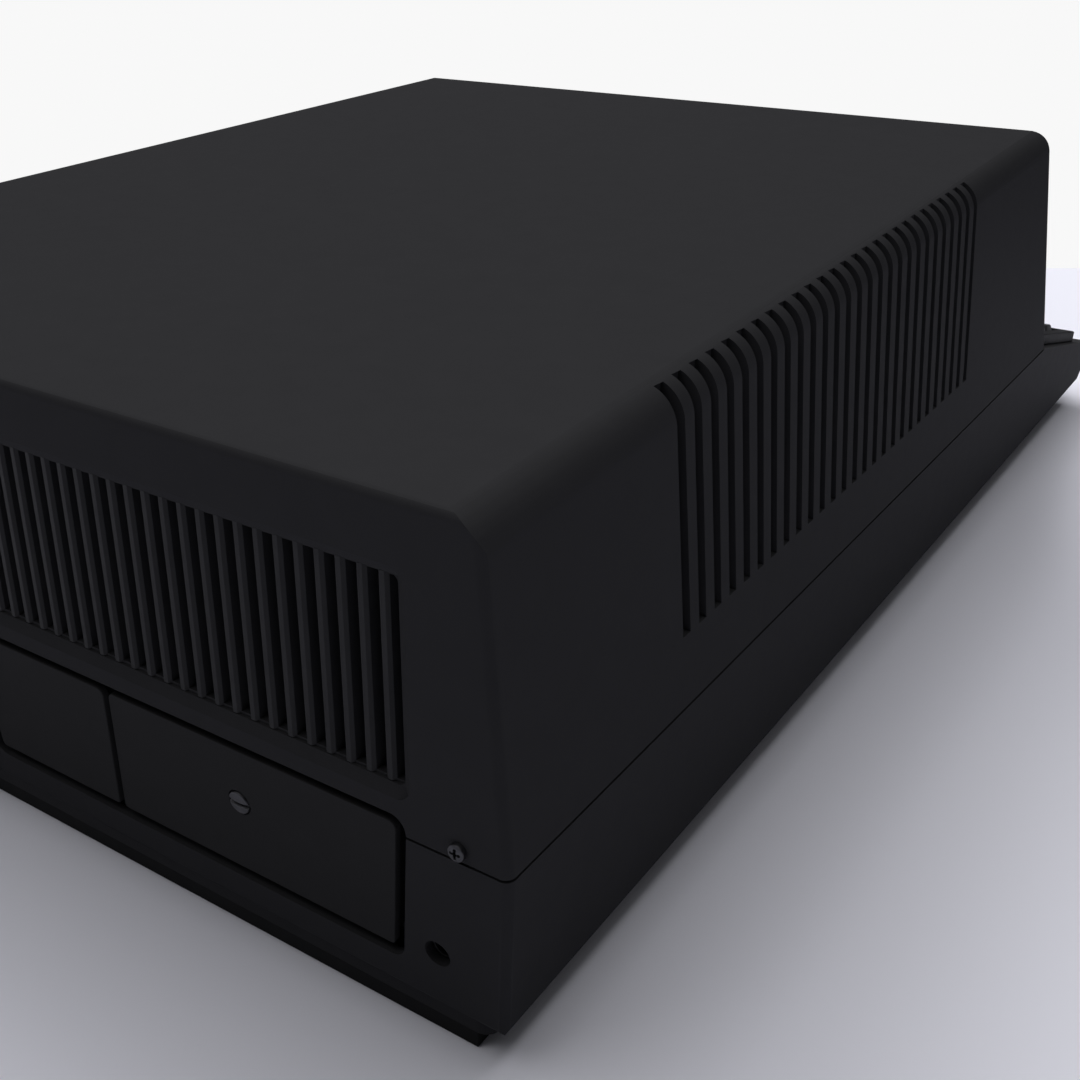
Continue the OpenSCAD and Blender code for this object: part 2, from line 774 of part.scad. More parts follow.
// Quarter-turn fastener: slotted head in the cover, shank through the rear plate
module cover_fastener() {
    seat_y = fit_gap - cover_set - fastener_seat;
    color([0.35, 0.35, 0.36])
        on_lower_back() translate([fastener_x, seat_y, fastener_z]) rotate([-90, 0, 0])
            difference() {
                union() {
                    cylinder(h = fastener_head_h, r = fastener_head_r);
                    translate([0, 0, rear_plate_y - seat_y - fastener_len])
                        cylinder(h = fastener_len - rear_plate_y + seat_y + over, r = fastener_shank_r);
                }
                translate([0, 0, fastener_head_h])
                    cube([2 * fastener_head_r + over, fastener_slot_w, 2 * fastener_slot_d],
                        center = true);
            }
}

// Perforated screens that lie against the inside of the vents
screen_t = 1.2;
screen_margin = 8;
screen_inner = 20;

module vent_screens() {
    first = back_y - vent_start + vent_w + screen_margin;
    last = back_y - vent_start - (vent_count - 1) * vent_pitch - vent_w - screen_margin;
    color([0.05, 0.05, 0.05])
        both_sides() intersection() {
            difference() {
                upper_form(wall + fit_gap, over);
                upper_form(wall + fit_gap + screen_t, 2 * over);
            }
            block([vent_head_x - screen_inner, last, seam_z + vent_foot - screen_margin],
                [case_w / 2, first, seam_z + 2 * upper_h]);
        }
}

// Front panel with speaker slots, drive cut-out and holes for lamp and button
drive_foot = 13.5;
bezel_gap = 0.4;
bezel_face_w = drive_w + 2;
bezel_face_h = drive_h + 4;
bezel_face_t = 8;
bezel_face_out = 1;
drive_mid = drive_foot + bezel_face_h / 2;
panel_lap = 5;
panel_lap_t = 1.8;
speaker_in = 89;
speaker_x = speaker_in - case_w / 2;
speaker_z = 62;
speaker_r = 38;
speaker_slot_w = 2.6;
speaker_slot_pitch = 6.4;
speaker_slot_count = 11;
lamp_r = 2.5;
lamp_right = 2.5;
lamp_x = (speaker_x + speaker_r + drive_x - bezel_face_w / 2) / 2 + lamp_right;
lamp_z = 84;
button_r = 5;
button_x = lamp_x;
button_z = 32;

module panel_hole(x, z, r) {
    translate([x, -over, z]) rotate([-90, 0, 0]) cylinder(h = 2 * wall + 4 * over, r = r);
}

module front_panel() {
    color([0.15, 0.15, 0.16])
        on_front() difference() {
            translate([0, 0, panel_mid]) {
                upright_rect(panel_w - 2 * bezel_gap, panel_h - 2 * bezel_gap,
                    panel_r - bezel_gap, panel_set, panel_set + panel_t);
                upright_rect(panel_w + 2 * panel_lap, panel_h + panel_lap, panel_r,
                    wall + fit_gap, wall + fit_gap + panel_lap_t);
            }
            for (i = [0 : speaker_slot_count - 1]) {
                z = (i - (speaker_slot_count - 1) / 2) * speaker_slot_pitch;
                half = sqrt(pow(speaker_r, 2) - pow(z, 2));
                translate([speaker_x, 3 * wall, speaker_z + z]) rotate([90, 0, 0])
                    linear_extrude(3 * wall + over) stadium(2 * half, speaker_slot_w);
            }
            translate([drive_x, 0, drive_mid])
                upright_rect(bezel_face_w + 2 * bezel_gap, bezel_face_h + 2 * bezel_gap,
                    panel_r / 2, -over, 3 * wall);
            panel_hole(lamp_x, lamp_z, lamp_r + fit_gap);
            panel_hole(button_x, button_z, button_r + clear);
        }
}

// Raised bezel round the keys
module keyboard_bezel() {
    color([0.12, 0.12, 0.13])
        on_deck() translate([0, bezel_mid, 0]) difference() {
            linear_extrude(bezel_rise) round_rect(bezel_w, bezel_l, corner_r);
            translate([0, 0, -over]) linear_extrude(bezel_rise + 2 * over)
                square([well_w, well_l], center = true);
        }
}

module pan_head_screw(head_r, head_h, shank) {
    difference() {
        union() {
            cylinder(h = head_h, r = head_r);
            translate([0, 0, -shank]) cylinder(h = shank + head_h / 2, r = screw_shank_r - fit_gap / 2);
        }
        for (turn = [0, 90])
            rotate(turn) translate([0, 0, head_h])
                cube([head_r, head_r / 4, head_h], center = true);
    }
}

module rear_case_screws() {
    color([0.55, 0.55, 0.56])
        on_upper_back() both_sides()
            translate([case_w / 2 - screw_side, 0, screw_up]) rotate([-90, 0, 0])
                pan_head_screw(screw_head_r, screw_head_h, screw_len);
}

module base_screws() {
    color([0.55, 0.55, 0.56])
        base_screw_places() translate([0, 0, foot_h]) mirror([0, 0, 1])
            pan_head_screw(base_screw_head_r, base_screw_head_h, pan_h + wall);
}

// Round socket behind its hole in the lower back
jack_body = 12;
jack_body_l = 32;

module jack_socket() {
    color([0.06, 0.06, 0.06])
        on_lower_back() translate([jack_x, -wall, jack_z]) difference() {
            block([-jack_body / 2, -jack_body_l, -jack_body / 2], [jack_body / 2, 0, jack_body / 2]);
            translate([0, -jack_depth, 0]) rotate([-90, 0, 0])
                cylinder(h = jack_depth + over, r = jack_r);
        }
}

// Mains inlet with three blades
inlet_flange = 2;
inlet_flange_lap = 2;
inlet_body_l = 20;
inlet_wall = 1.5;
inlet_cavity = 15;
blade_w = 2;
blade_h = 4;
blade_l = 12;
blade_pitch = 7;
blade_up = 1.4;
earth_up = 2.6;

module mains_inlet() {
    color([0.05, 0.05, 0.05])
        on_lower_back() translate([inlet_x, 0, fitting_z]) {
            difference() {
                union() {
                    upright_rect(inlet_w, inlet_h, inlet_wall, -inlet_body_l, over);
                    upright_rect(inlet_w + 2 * inlet_flange_lap, inlet_h + 2 * inlet_flange_lap,
                        inlet_wall, 0, inlet_flange);
                }
                upright_rect(inlet_w - 2 * inlet_wall, inlet_h - 2 * inlet_wall, inlet_wall / 2,
                    -inlet_cavity, inlet_flange + over);
            }
            for (i = [-1, 0, 1])
                translate([i * blade_pitch, -inlet_cavity - over, blade_up + (i == 0 ? earth_up : 0)])
                    translate([-blade_w / 2, 0, -blade_h / 2]) cube([blade_w, blade_l + over, blade_h]);
        }
}

// Power switch: a frame and the rocker in it
switch_flange = 1.6;
switch_lap = 1.6;
switch_depth = 15;
switch_wall = 1.2;
rocker_tilt = 10;
rocker_w = switch_w - 2 * switch_wall - 2 * clear;
rocker_half = (switch_h - 2 * switch_wall) / 2 - 4 * clear;
rocker_out = 3;
rocker_in = 4.5;
rocker_pivot_y = -1.5;

module switch_frame() {
    color([0.05, 0.05, 0.05])
        on_lower_back() translate([switch_x, 0, fitting_z]) difference() {
            union() {
                upright_rect(switch_w, switch_h, switch_wall, -switch_depth, over);
                upright_rect(switch_w + 2 * switch_lap, switch_h + 2 * switch_lap, switch_wall,
                    0, switch_flange);
            }
            block([-switch_w / 2 + switch_wall, -switch_depth + switch_wall, -switch_h / 2 + switch_wall],
                [switch_w / 2 - switch_wall, switch_flange + over, switch_h / 2 - switch_wall]);
        }
}

module power_rocker() {
    half = rocker_half;
    color([0.09, 0.09, 0.09])
        on_lower_back() translate([switch_x, rocker_pivot_y, fitting_z])
            rotate([rocker_tilt, 0, 0]) along_x(rocker_w)
                polygon([[-rocker_in, -half / 2], [0, -half],
                    [rocker_out + half * sin(rocker_tilt), -half],
                    [rocker_out, 0], [rocker_out + half * sin(rocker_tilt), half],
                    [0, half], [-rocker_in, half / 2]]);
}

// Fuse holder with a slotted cap
fuse_cap_r = 8;
fuse_cap_h = 3.5;
fuse_body_l = 30;
fuse_slot_w = 1.4;
fuse_slot_d = 1.6;

module fuse_holder() {
    color([0.06, 0.06, 0.06])
        on_lower_back() translate([fuse_x, 0, fitting_z]) rotate([-90, 0, 0]) difference() {
            union() {
                translate([0, 0, -fuse_body_l]) cylinder(h = fuse_body_l + over, r = fuse_r);
                cylinder(h = fuse_cap_h, r = fuse_cap_r);
            }
            translate([0, 0, fuse_cap_h])
                cube([2 * fuse_cap_r + over, fuse_slot_w, 2 * fuse_slot_d], center = true);
        }
}

// Two port shells on the rear plate
port_depth = 9;
port_key = 2;

module rear_ports() {
    color([0.55, 0.56, 0.58])
        on_lower_back() for (i = [0, 1])
            translate([port_x[i], rear_plate_y, port_z[i]]) rotate([-90, 0, 0]) {
                linear_extrude(port_y - cover_t)
                    polygon([[-port_w / 2, -port_h / 2], [port_w / 2, -port_h / 2],
                        [port_w / 2 - port_key, port_h / 2], [port_key - port_w / 2, port_h / 2]]);
                translate([0, 0, -rear_plate_t - port_depth])
                    linear_extrude(port_depth) square([port_flange_w, port_flange_h], center = true);
                translate([0, 0, -rear_plate_t - over]) linear_extrude(rear_plate_t + 2 * over)
                    square([port_w - 2 * port_key, port_h], center = true);
            }
}

// Main board on its stand-offs, between the left side and the power supply
supply_in = 125;
supply_x = case_w / 2 - supply_in;
main_board_in = 25;
main_board_x = main_board_in - case_w / 2;
supply_gap = 12;
main_board_w = supply_x - supply_gap - main_board_x;
main_board_l = 270;
main_board_back = 34;
standoff_h = 8;
standoff_r = 3;
board_z = pan_floor_z + standoff_h;
board_top = board_z + board_t;
board_y = back_y - main_board_back - main_board_l;
standoff_in = 8;

module board_places() {
    for (x = [0, 0.5, 1], y = [0, 0.5, 1])
        translate([main_board_x + standoff_in + x * (main_board_w - 2 * standoff_in),
            board_y + standoff_in + y * (main_board_l - 2 * standoff_in), 0]) children();
}

module main_board() {
    color([0.10, 0.32, 0.18])
        difference() {
            block([main_board_x, board_y, board_z],
                [main_board_x + main_board_w, board_y + main_board_l, board_top]);
            board_places() translate([0, 0, board_z - over])
                cylinder(h = board_t + 2 * over, r = screw_shank_r);
        }
}

module board_standoffs() {
    color([0.75, 0.62, 0.30])
        board_places() translate([0, 0, pan_floor_z]) {
            cylinder(h = standoff_h, r = standoff_r, $fn = 6);
            cylinder(h = standoff_h + board_t + over, r = screw_shank_r - clear);
            translate([0, 0, standoff_h + board_t]) cylinder(h = over, r = standoff_r);
        }
}

// Chips in rows on the front right of the board
chip_w = 7;
chip_l = 20;
chip_h = 4;
chip_rows = 6;
chip_cols = 5;
chip_field_share = 0.55;
chip_step_share = 1 / 12;
chip_x0 = main_board_x + main_board_w * chip_field_share;
chip_step_x = main_board_w * chip_step_share;
big_chip_w = 15;
big_chip_l = 52;
board_margin = 10;
big_chip_y = board_y + main_board_l - big_chip_l - board_margin;
chip_front = 28;
chip_y0 = board_y + chip_front;
chip_step_y = (big_chip_y - chip_y0) / chip_rows;

module board_chips() {
    color([0.06, 0.06, 0.07]) {
        for (col = [0 : chip_cols - 1], row = [0 : chip_rows - 1])
            translate([chip_x0 + col * chip_step_x, chip_y0 + row * chip_step_y, board_top])
                cube([chip_w, chip_l, chip_h]);
        for (col = [0 : 2])
            translate([chip_x0 + col * 2 * chip_step_x - chip_w, big_chip_y, board_top])
                cube([big_chip_w, big_chip_l, chip_h]);
    }
}

// Card sockets and the two cards that stand in them
socket_count = 5;
socket_pitch_share = 11 / 120;
socket_side_share = 0.075;
socket_pitch = main_board_w * socket_pitch_share;
socket_w = 9;
socket_l = 120;
socket_h = 12;
socket_back = 30;
socket_x0 = main_board_x + main_board_w * socket_side_share;
socket_y0 = board_y + main_board_l - socket_l - socket_back;
card_t = 1.6;
card_seat = 6;
card_h = 88;
card_l = 200;
card_tab_in = 2;
card_step_share = 0.15;
card_row_share = 0.225;

module expansion_sockets() {
    color([0.16, 0.20, 0.32])
        for (i = [0 : socket_count - 1])
            translate([socket_x0 + i * socket_pitch, socket_y0, board_top]) difference() {
                cube([socket_w, socket_l, socket_h]);
                translate([(socket_w - card_t) / 2 - fit_gap, card_tab_in - fit_gap, socket_h - card_seat])
                    cube([card_t + 2 * fit_gap, socket_l - 2 * card_tab_in + 2 * fit_gap, socket_h]);
            }
}

// A card: board, chips on its left face and a tab in the socket
module card(slot, chip_cols, chip_rows) {
    x = socket_x0 + slot * socket_pitch + (socket_w - card_t) / 2;
    z = board_top + socket_h;
    block([x, socket_y0 + card_tab_in, z - card_seat],
        [x + card_t, socket_y0 + socket_l - card_tab_in, z + over]);
    block([x, socket_y0 + socket_l + card_tab_in - card_l, z + fit_gap],
        [x + card_t, socket_y0 + socket_l + card_tab_in, z + card_h]);
    for (col = [0 : chip_cols - 1], row = [0 : chip_rows - 1])
        translate([x + card_t, socket_y0 + socket_l - card_l + chip_w + col * card_l * card_step_share,
            z + 2 * chip_w + row * card_h * card_row_share])
            cube([chip_h, chip_l, chip_w]);
}

module controller_card() {
    color([0.12, 0.36, 0.20]) card(1, 6, 3);
}

module memory_card() {
    color([0.14, 0.38, 0.22]) card(3, 6, 4);
}

// Open-frame power supply on the right
supply_w = 102;
supply_back = 62;
supply_l = 210;
supply_wall_h = 58;
supply_sheet = 1.5;
supply_y = back_y - supply_back - supply_l;

module supply_chassis() {
    color([0.66, 0.67, 0.68]) {
        block([supply_x, supply_y, pan_floor_z],
            [supply_x + supply_w, supply_y + supply_l, pan_floor_z + supply_sheet]);
        block([supply_x, supply_y, pan_floor_z],
            [supply_x + supply_sheet, supply_y + supply_l, pan_floor_z + supply_wall_h]);
    }
}

core_w = 72;
core_l = 60;
core_h = 60;
core_leg = 14;
coil_out = 9;
core_gap = 6;

module transformer() {
    z = pan_floor_z + supply_sheet;
    x = supply_x + (supply_w + supply_sheet - core_w) / 2;
    y = supply_y + supply_l - core_l - core_leg;
    color([0.30, 0.30, 0.31]) block([x, y, z], [x + core_w, y + core_l - 2 * coil_out, z + core_h]);
    color([0.62, 0.36, 0.16])
        block([x + core_leg, y - coil_out, z + core_leg],
            [x + core_w - core_leg, y + core_l - coil_out, z + core_h - core_leg]);
}

supply_board_l = 118;
supply_board_up = 6;
supply_post_r = 3;
heat_sink_t = 2;
heat_sink_h = 34;
heat_sink_l = 80;

module supply_board() {
    x0 = supply_x + supply_sheet + core_gap;
    x1 = supply_x + supply_w - core_gap;
    y0 = supply_y + core_gap;
    z = pan_floor_z + supply_sheet + supply_board_up;
    color([0.45, 0.34, 0.16]) block([x0, y0, z], [x1, y0 + supply_board_l, z + board_t]);
    color([0.7, 0.7, 0.7]) {
        for (x = [x0 + core_gap, x1 - core_gap], y = [y0 + core_gap, y0 + supply_board_l - core_gap])
            translate([x, y, z - supply_board_up]) cylinder(h = supply_board_up, r = supply_post_r);
        block([x1 - core_leg, y0 + core_leg, z + board_t],
            [x1 - core_leg + heat_sink_t, y0 + core_leg + heat_sink_l, z + board_t + heat_sink_h]);
    }
}

cap_r = 14;
cap_tall = 40;
cap_pitch = 32;
cap_count = 3;

module filter_capacitors() {
    z = pan_floor_z + supply_sheet + supply_board_up + board_t;
    color([0.12, 0.18, 0.42])
        for (i = [0 : cap_count - 1])
            translate([supply_x + supply_sheet + core_gap + 2 * cap_r,
                supply_y + core_gap + 2 * cap_r + i * cap_pitch, z])
                cylinder(h = cap_tall, r = cap_r);
}

// Fan behind the right half of the grille
fan_in = 89;
fan_x = case_w / 2 - fan_in;
fan_hole_r = fan_side / 2 - 2;
fan_hub_r = 16;
fan_hub_h = 18;
fan_blade_t = 1.6;
fan_blade_count = 7;
fan_blade_tilt = 35;
fan_blade_h = 20;
fan_axle_r = 3;
fan_strut_w = 6;
fan_strut_t = 3;
fan_running = 0.05;
fan_tip_gap = 1.2;
fan_y = fin_back;

module fan_frame() {
    color([0.08, 0.08, 0.08])
        on_upper_back() translate([fan_x, fan_y, grille_mid]) {
            difference() {
                upright_rect(fan_side, fan_side, corner_r, -fan_depth, 0);
                translate([0, over, 0]) rotate([90, 0, 0])
                    cylinder(h = fan_depth + 2 * over, r = fan_hole_r);
            }
            translate([0, -fan_depth, 0]) rotate([-90, 0, 0]) {
                for (turn = [0 : 90 : 270])
                    rotate(turn) translate([fan_hub_r / 2, -fan_strut_w / 2, 0])
                        cube([fan_hole_r - fan_hub_r / 2 + over, fan_strut_w, fan_strut_t]);
                cylinder(h = fan_strut_t, r = fan_hub_r - over);
                cylinder(h = fan_depth - fan_strut_t, r = fan_axle_r);
            }
        }
}

module fan_rotor() {
    blade_l = fan_hole_r - fan_tip_gap - fan_hub_r + over;
    color([0.10, 0.10, 0.10])
        on_upper_back() translate([fan_x, fan_y, grille_mid]) rotate([90, 0, 0]) {
            translate([0, 0, over]) difference() {
                cylinder(h = fan_hub_h, r = fan_hub_r);
                translate([0, 0, -over])
                    cylinder(h = fan_hub_h + 2 * over, r = fan_axle_r + fan_running);
            }
            for (i = [0 : fan_blade_count - 1])
                rotate(i * 360 / fan_blade_count)
                    translate([fan_hub_r - over, 0, over + fan_hub_h / 2])
                        rotate([fan_blade_tilt, 0, 0]) translate([0, -fan_blade_t / 2, -fan_blade_h / 2])
                            intersection() {
                                cube([blade_l, fan_blade_t, fan_blade_h]);
                                translate([0, -fan_blade_t, 0])
                                    cube([blade_l - over, 4 * fan_blade_t, fan_blade_h]);
                            }
        }
}

// Speaker behind the slots
speaker_rim_t = 2;
speaker_rim = 2.5;
speaker_cone_l = 14;
speaker_magnet_r = 17;
speaker_magnet_l = 10;

module speaker() {
    color([0.20, 0.20, 0.21])
        on_front() translate([speaker_x, panel_set + panel_t + panel_lap_t, speaker_z])
            rotate([-90, 0, 0]) difference() {
                union() {
                    cylinder(h = speaker_rim_t, r = speaker_r + speaker_rim);
                    cylinder(h = speaker_cone_l, r1 = speaker_r, r2 = speaker_magnet_r);
                    translate([0, 0, speaker_cone_l - over])
                        cylinder(h = speaker_magnet_l + over, r = speaker_magnet_r);
                }
                translate([0, 0, -over])
                    cylinder(h = speaker_cone_l, r1 = speaker_r - speaker_rim, r2 = speaker_magnet_r / 2);
            }
}

// Disk drive: shelf, channel, bezel and lever
drive_z = seam_z + drive_foot + 2;
slot_z = drive_z + drive_h / 2;
drive_back = front_y + drive_len;
shelf_t = 1.5;
shelf_leg_w = 14;
shelf_leg_in = 6;

module drive_shelf() {
    x0 = drive_x - drive_w / 2 + shelf_leg_in;
    x1 = drive_x + drive_w / 2 - 3 * shelf_leg_in;
    y0 = front_y + 8 * shelf_leg_in;
    color([0.64, 0.65, 0.66]) {
        block([x0, y0, drive_z - shelf_t], [x1, drive_back, drive_z]);
        for (x = [x0, x1 - shelf_t], y = [y0, drive_back - shelf_leg_w])
            block([x, y, pan_floor_z], [x + shelf_t, y + shelf_leg_w, drive_z - shelf_t / 2]);
        for (y = [y0, drive_back - shelf_leg_w]) {
            block([x0, y, pan_floor_z], [x0 + shelf_leg_w, y + shelf_leg_w, pan_floor_z + shelf_t]);
            block([x1 - shelf_leg_w, y, pan_floor_z], [x1, y + shelf_leg_w, pan_floor_z + shelf_t]);
        }
    }
}

channel_t = 3;
channel_deck = 5;
channel_guide = 8;
spindle_r = 17;
spindle_h = 20;

module drive_frame() {
    color([0.58, 0.59, 0.60])
        difference() {
            translate([drive_x, 0, 0]) {
                for (side = [-1, 1])
                    translate([side * (drive_w - channel_t) / 2, 0, 0])
                        block([-channel_t / 2, front_y, drive_z],
                            [channel_t / 2, drive_back, drive_z + drive_h - over]);
                block([-drive_w / 2, front_y, slot_z - slot_h / 2 - channel_deck],
                    [drive_w / 2, drive_back, slot_z - slot_h / 2]);
                for (side = [-1, 1])
                    translate([side * (drive_w / 2 - channel_guide / 2), 0, 0])
                        block([-channel_guide / 2, front_y, slot_z + slot_h / 2],
                            [channel_guide / 2, drive_back, slot_z + slot_h / 2 + channel_t]);
                translate([0, drive_back - drive_len / 2, slot_z - slot_h / 2 - channel_deck - spindle_h])
                    cylinder(h = spindle_h + over, r = spindle_r);
                block([-drive_w / 2, drive_back - channel_t, drive_z],
                    [drive_w / 2, drive_back, drive_z + drive_h - over]);
            }
            on_front() block([-case_w, -upper_h, -upper_h],
                [case_w, bezel_face_t - bezel_face_out + fit_gap, 2 * upper_h]);
        }
}

lever_up = 15;
lever_shaft_r = 3;
lever_running = 0.05;
lever_arm_l = 44;
lever_arm_w = 9;
lever_arm_t = 7;
drive_lamp_x = 52;
drive_lamp_drop = 22;
slot_on_face = (slot_z - seam_z) / cos(front_lean);
lever_z = slot_on_face + lever_up;

module drive_bezel() {
    color([0.09, 0.09, 0.09])
        difference() {
            on_front() translate([drive_x, 0, drive_mid])
                upright_rect(bezel_face_w, bezel_face_h, panel_r / 2, -bezel_face_out,
                    bezel_face_t - bezel_face_out);
            translate([drive_x, front_y, slot_z])
                cube([slot_w, drive_len, slot_h], center = true);
            on_front() translate([drive_x, -2 * over, lever_z]) rotate([-90, 0, 0])
                cylinder(h = bezel_face_t + 3 * over, r = lever_shaft_r + lever_running);
            on_front() translate([drive_x - drive_lamp_x, -2 * over, slot_on_face - drive_lamp_drop])
                rotate([-90, 0, 0]) cylinder(h = bezel_face_t + 3 * over, r = lamp_r + fit_gap);
        }
}

module drive_lever() {
    color([0.14, 0.14, 0.15])
        on_front() translate([drive_x, -bezel_face_out - clear, lever_z]) rotate([90, 0, 0]) {
            linear_extrude(lever_arm_t) stadium(lever_arm_l, lever_arm_w);
            translate([0, 0, -bezel_face_t - 2 * clear])
                cylinder(h = bezel_face_t + 2 * clear + over, r = lever_shaft_r);
        }
}

lamp_l = 10;
lamp_out = 1;

module indicator_lamps() {
    color([0.75, 0.10, 0.08])
        on_front() {
            translate([lamp_x, panel_set - lamp_out, lamp_z]) rotate([-90, 0, 0])
                cylinder(h = lamp_l, r = lamp_r);
            translate([drive_x - drive_lamp_x, -bezel_face_out - lamp_out, slot_on_face - drive_lamp_drop])
                rotate([-90, 0, 0]) cylinder(h = lamp_l, r = lamp_r);
        }
}

// Reset button and the switch body behind the panel
button_out = 3;
button_travel = 2;
button_cap_l = 9;
stem_r = 2;
stem_l = 6;
reset_body_w = 16;
reset_body_l = 14;
reset_body_y = panel_set + panel_t + panel_lap_t;
reset_well = 1.5;

module reset_button() {
    color([0.45, 0.10, 0.08])
        on_front() translate([button_x, panel_set - button_out, button_z]) rotate([-90, 0, 0]) {
            cylinder(h = button_cap_l, r = button_r);
            cylinder(h = button_cap_l + stem_l, r = stem_r);
        }
}

module reset_switch() {
    inner_l = panel_set - button_out + button_cap_l + button_travel + clear - reset_body_y;
    color([0.07, 0.07, 0.07])
        on_front() translate([button_x, reset_body_y, button_z]) difference() {
            block([-reset_body_w / 2, 0, -reset_body_w / 2],
                [reset_body_w / 2, reset_body_l, reset_body_w / 2]);
            translate([0, -over, 0]) rotate([-90, 0, 0])
                cylinder(h = inner_l + over, r = button_r + clear);
            rotate([-90, 0, 0]) cylinder(h = reset_body_l - reset_well, r = stem_r + clear);
        }
}

// Keys. Each key is [row, start, width, rows tall], in shares of the key pitch.
number_keys_share = [for (i = [0 : 12]) [0, i, 1, 1]];
upper_keys_share = concat([for (i = [0 : 11]) [1, 1.5 + i, 1, 1]], [[1, 13.5, 1.5, 1]]);
home_keys_share = [for (i = [0 : 10]) [2, 1.75 + i, 1, 1]];
lower_keys_share = [for (i = [0 : 9]) [3, 2.25 + i, 1, 1]];
bottom_keys_share = [[4, 0, 1.5, 1], [4, 1.5, 1.5, 1], [4, 12, 1.5, 1], [4, 13.5, 1.5, 1]];
space_share = [[4, 3, 9, 1]];
return_share = [[2, 12.75, 2.25, 1]];
left_shift_share = [[3, 0, 2.25, 1]];
right_shift_share = [[3, 12.25, 2.75, 1]];
backspace_share = [[0, 13, 2, 1]];
tab_share = [[1, 0, 1.5, 1]];
control_share = [[2, 0, 1.75, 1]];
// The number pad starts after the main field and its gap
pad_share = field_keys + field_gap / key_pitch;
keypad_keys_share = concat([for (row = [0 : 2], i = [0 : 3]) [row, pad_share + i, 1, 1]],
    [for (i = [0 : 2]) [3, pad_share + i, 1, 1]], [[4, pad_share + 2, 1, 1]]);
keypad_enter_share = [[3, pad_share + 3, 1, 2]];
keypad_zero_share = [[4, pad_share, 2, 1]];
all_keys_share = concat(number_keys_share, upper_keys_share, home_keys_share, lower_keys_share,
    bottom_keys_share, space_share, return_share, left_shift_share, right_shift_share,
    backspace_share, tab_share, control_share, keypad_keys_share, keypad_enter_share,
    keypad_zero_share);

// Middle of a key in the deck's frame
function key_at(key) = [keys_x + (key[1] + key[2] / 2) * key_pitch,
    keys_y - (key[0] + key[3] / 2) * key_pitch];

cap_taper = 2.9;
cap_back_taper = 1.6;
cap_front_taper = 3;
cap_foot = -1.5;
cap_wall = 1.3;
cap_roof = 2;
stem_w = 6;
stem_foot = -9.5;
switch_w_key = 14;

module key_cap(w, l) {
    half = w / 2;
    side = l / 2;
    translate([0, 0, cap_foot]) difference() {
        intersection() {
            along_y(2 * l)
                polygon([[-half, 0], [half, 0], [half - cap_taper, cap_h], [cap_taper - half, cap_h]]);
            along_x(2 * w)
                polygon([[-side, 0], [side, 0], [side - cap_back_taper, cap_h],
                    [cap_front_taper - side, cap_h]]);
        }
        translate([cap_wall - half, cap_wall - side, -over])
            cube([w - 2 * cap_wall, l - 2 * cap_wall, over + cap_wall]);
        translate([cap_taper - half, cap_front_taper - side, 0])
            cube([w - 2 * cap_taper, l - cap_front_taper - cap_back_taper - cap_wall, cap_h - cap_roof]);
    }
    translate([-stem_w / 2, -stem_w / 2, stem_foot])
        cube([stem_w, stem_w, cap_h + cap_foot - stem_foot - cap_roof / 2]);
}

module keys(list) {
    color([0.16, 0.15, 0.14])
        on_deck() for (key = list)
            translate([key_at(key)[0], key_at(key)[1], 0])
                key_cap(key[2] * key_pitch - cap_gap, key[3] * key_pitch - cap_gap);
}

module number_row_keys() { keys(number_keys_share); }
module upper_row_keys() { keys(upper_keys_share); }
module home_row_keys() { keys(home_keys_share); }
module lower_row_keys() { keys(lower_keys_share); }
module bottom_row_keys() { keys(bottom_keys_share); }
module space_bar() { keys(space_share); }
module return_key() { keys(return_share); }
module left_shift_key() { keys(left_shift_share); }
module right_shift_key() { keys(right_shift_share); }
module backspace_key() { keys(backspace_share); }
module tab_key() { keys(tab_share); }
module control_key() { keys(control_share); }
module keypad_keys() { keys(keypad_keys_share); }
module keypad_enter_key() { keys(keypad_enter_share); }
module keypad_zero_key() { keys(keypad_zero_share); }

module key_squares(side) {
    for (key = all_keys_share)
        translate(key_at(key)) square(side, center = true);
}

module keyboard_plate() {
    color([0.40, 0.41, 0.42])
        on_deck() translate([0, 0, plate_top - plate_t]) linear_extrude(plate_t) difference() {
            translate([0, bezel_mid])
                square([well_w + plate_lap / 2, well_l + 2 * plate_lap], center = true);
            key_squares(switch_w_key + 2 * fit_gap);
        }
}

module keyboard_board() {
    color([0.10, 0.30, 0.17])
        on_deck() translate([0, bezel_mid, key_board_top - board_t]) linear_extrude(board_t)
            square([well_w, well_l], center = true);
}

module key_switches() {
    color([0.07, 0.07, 0.08])
        on_deck() translate([0, 0, key_board_top]) linear_extrude(switch_top - key_board_top)
            difference() {
                key_squares(switch_w_key);
                key_squares(stem_w + 2 * clear);
            }
}

upper_shell();
lower_shell();
base_pan();
rear_foot_strip();
front_foot_strip();
rear_grille();
rear_plate();
expansion_cover();
cover_fastener();
port_cover();
vent_screens();
front_panel();
keyboard_bezel();
rear_case_screws();
base_screws();
jack_socket();
mains_inlet();
switch_frame();
power_rocker();
fuse_holder();
rear_ports();
main_board();
board_standoffs();
board_chips();
expansion_sockets();
controller_card();
memory_card();
supply_chassis();
transformer();
supply_board();
filter_capacitors();
fan_frame();
fan_rotor();
speaker();
drive_shelf();
drive_frame();
drive_bezel();
drive_lever();
indicator_lamps();
reset_button();
reset_switch();
keyboard_plate();
keyboard_board();
key_switches();
number_row_keys();
upper_row_keys();
home_row_keys();
lower_row_keys();
bottom_row_keys();
space_bar();
return_key();
left_shift_key();
right_shift_key();
backspace_key();
tab_key();
control_key();
keypad_keys();
keypad_enter_key();
keypad_zero_key();
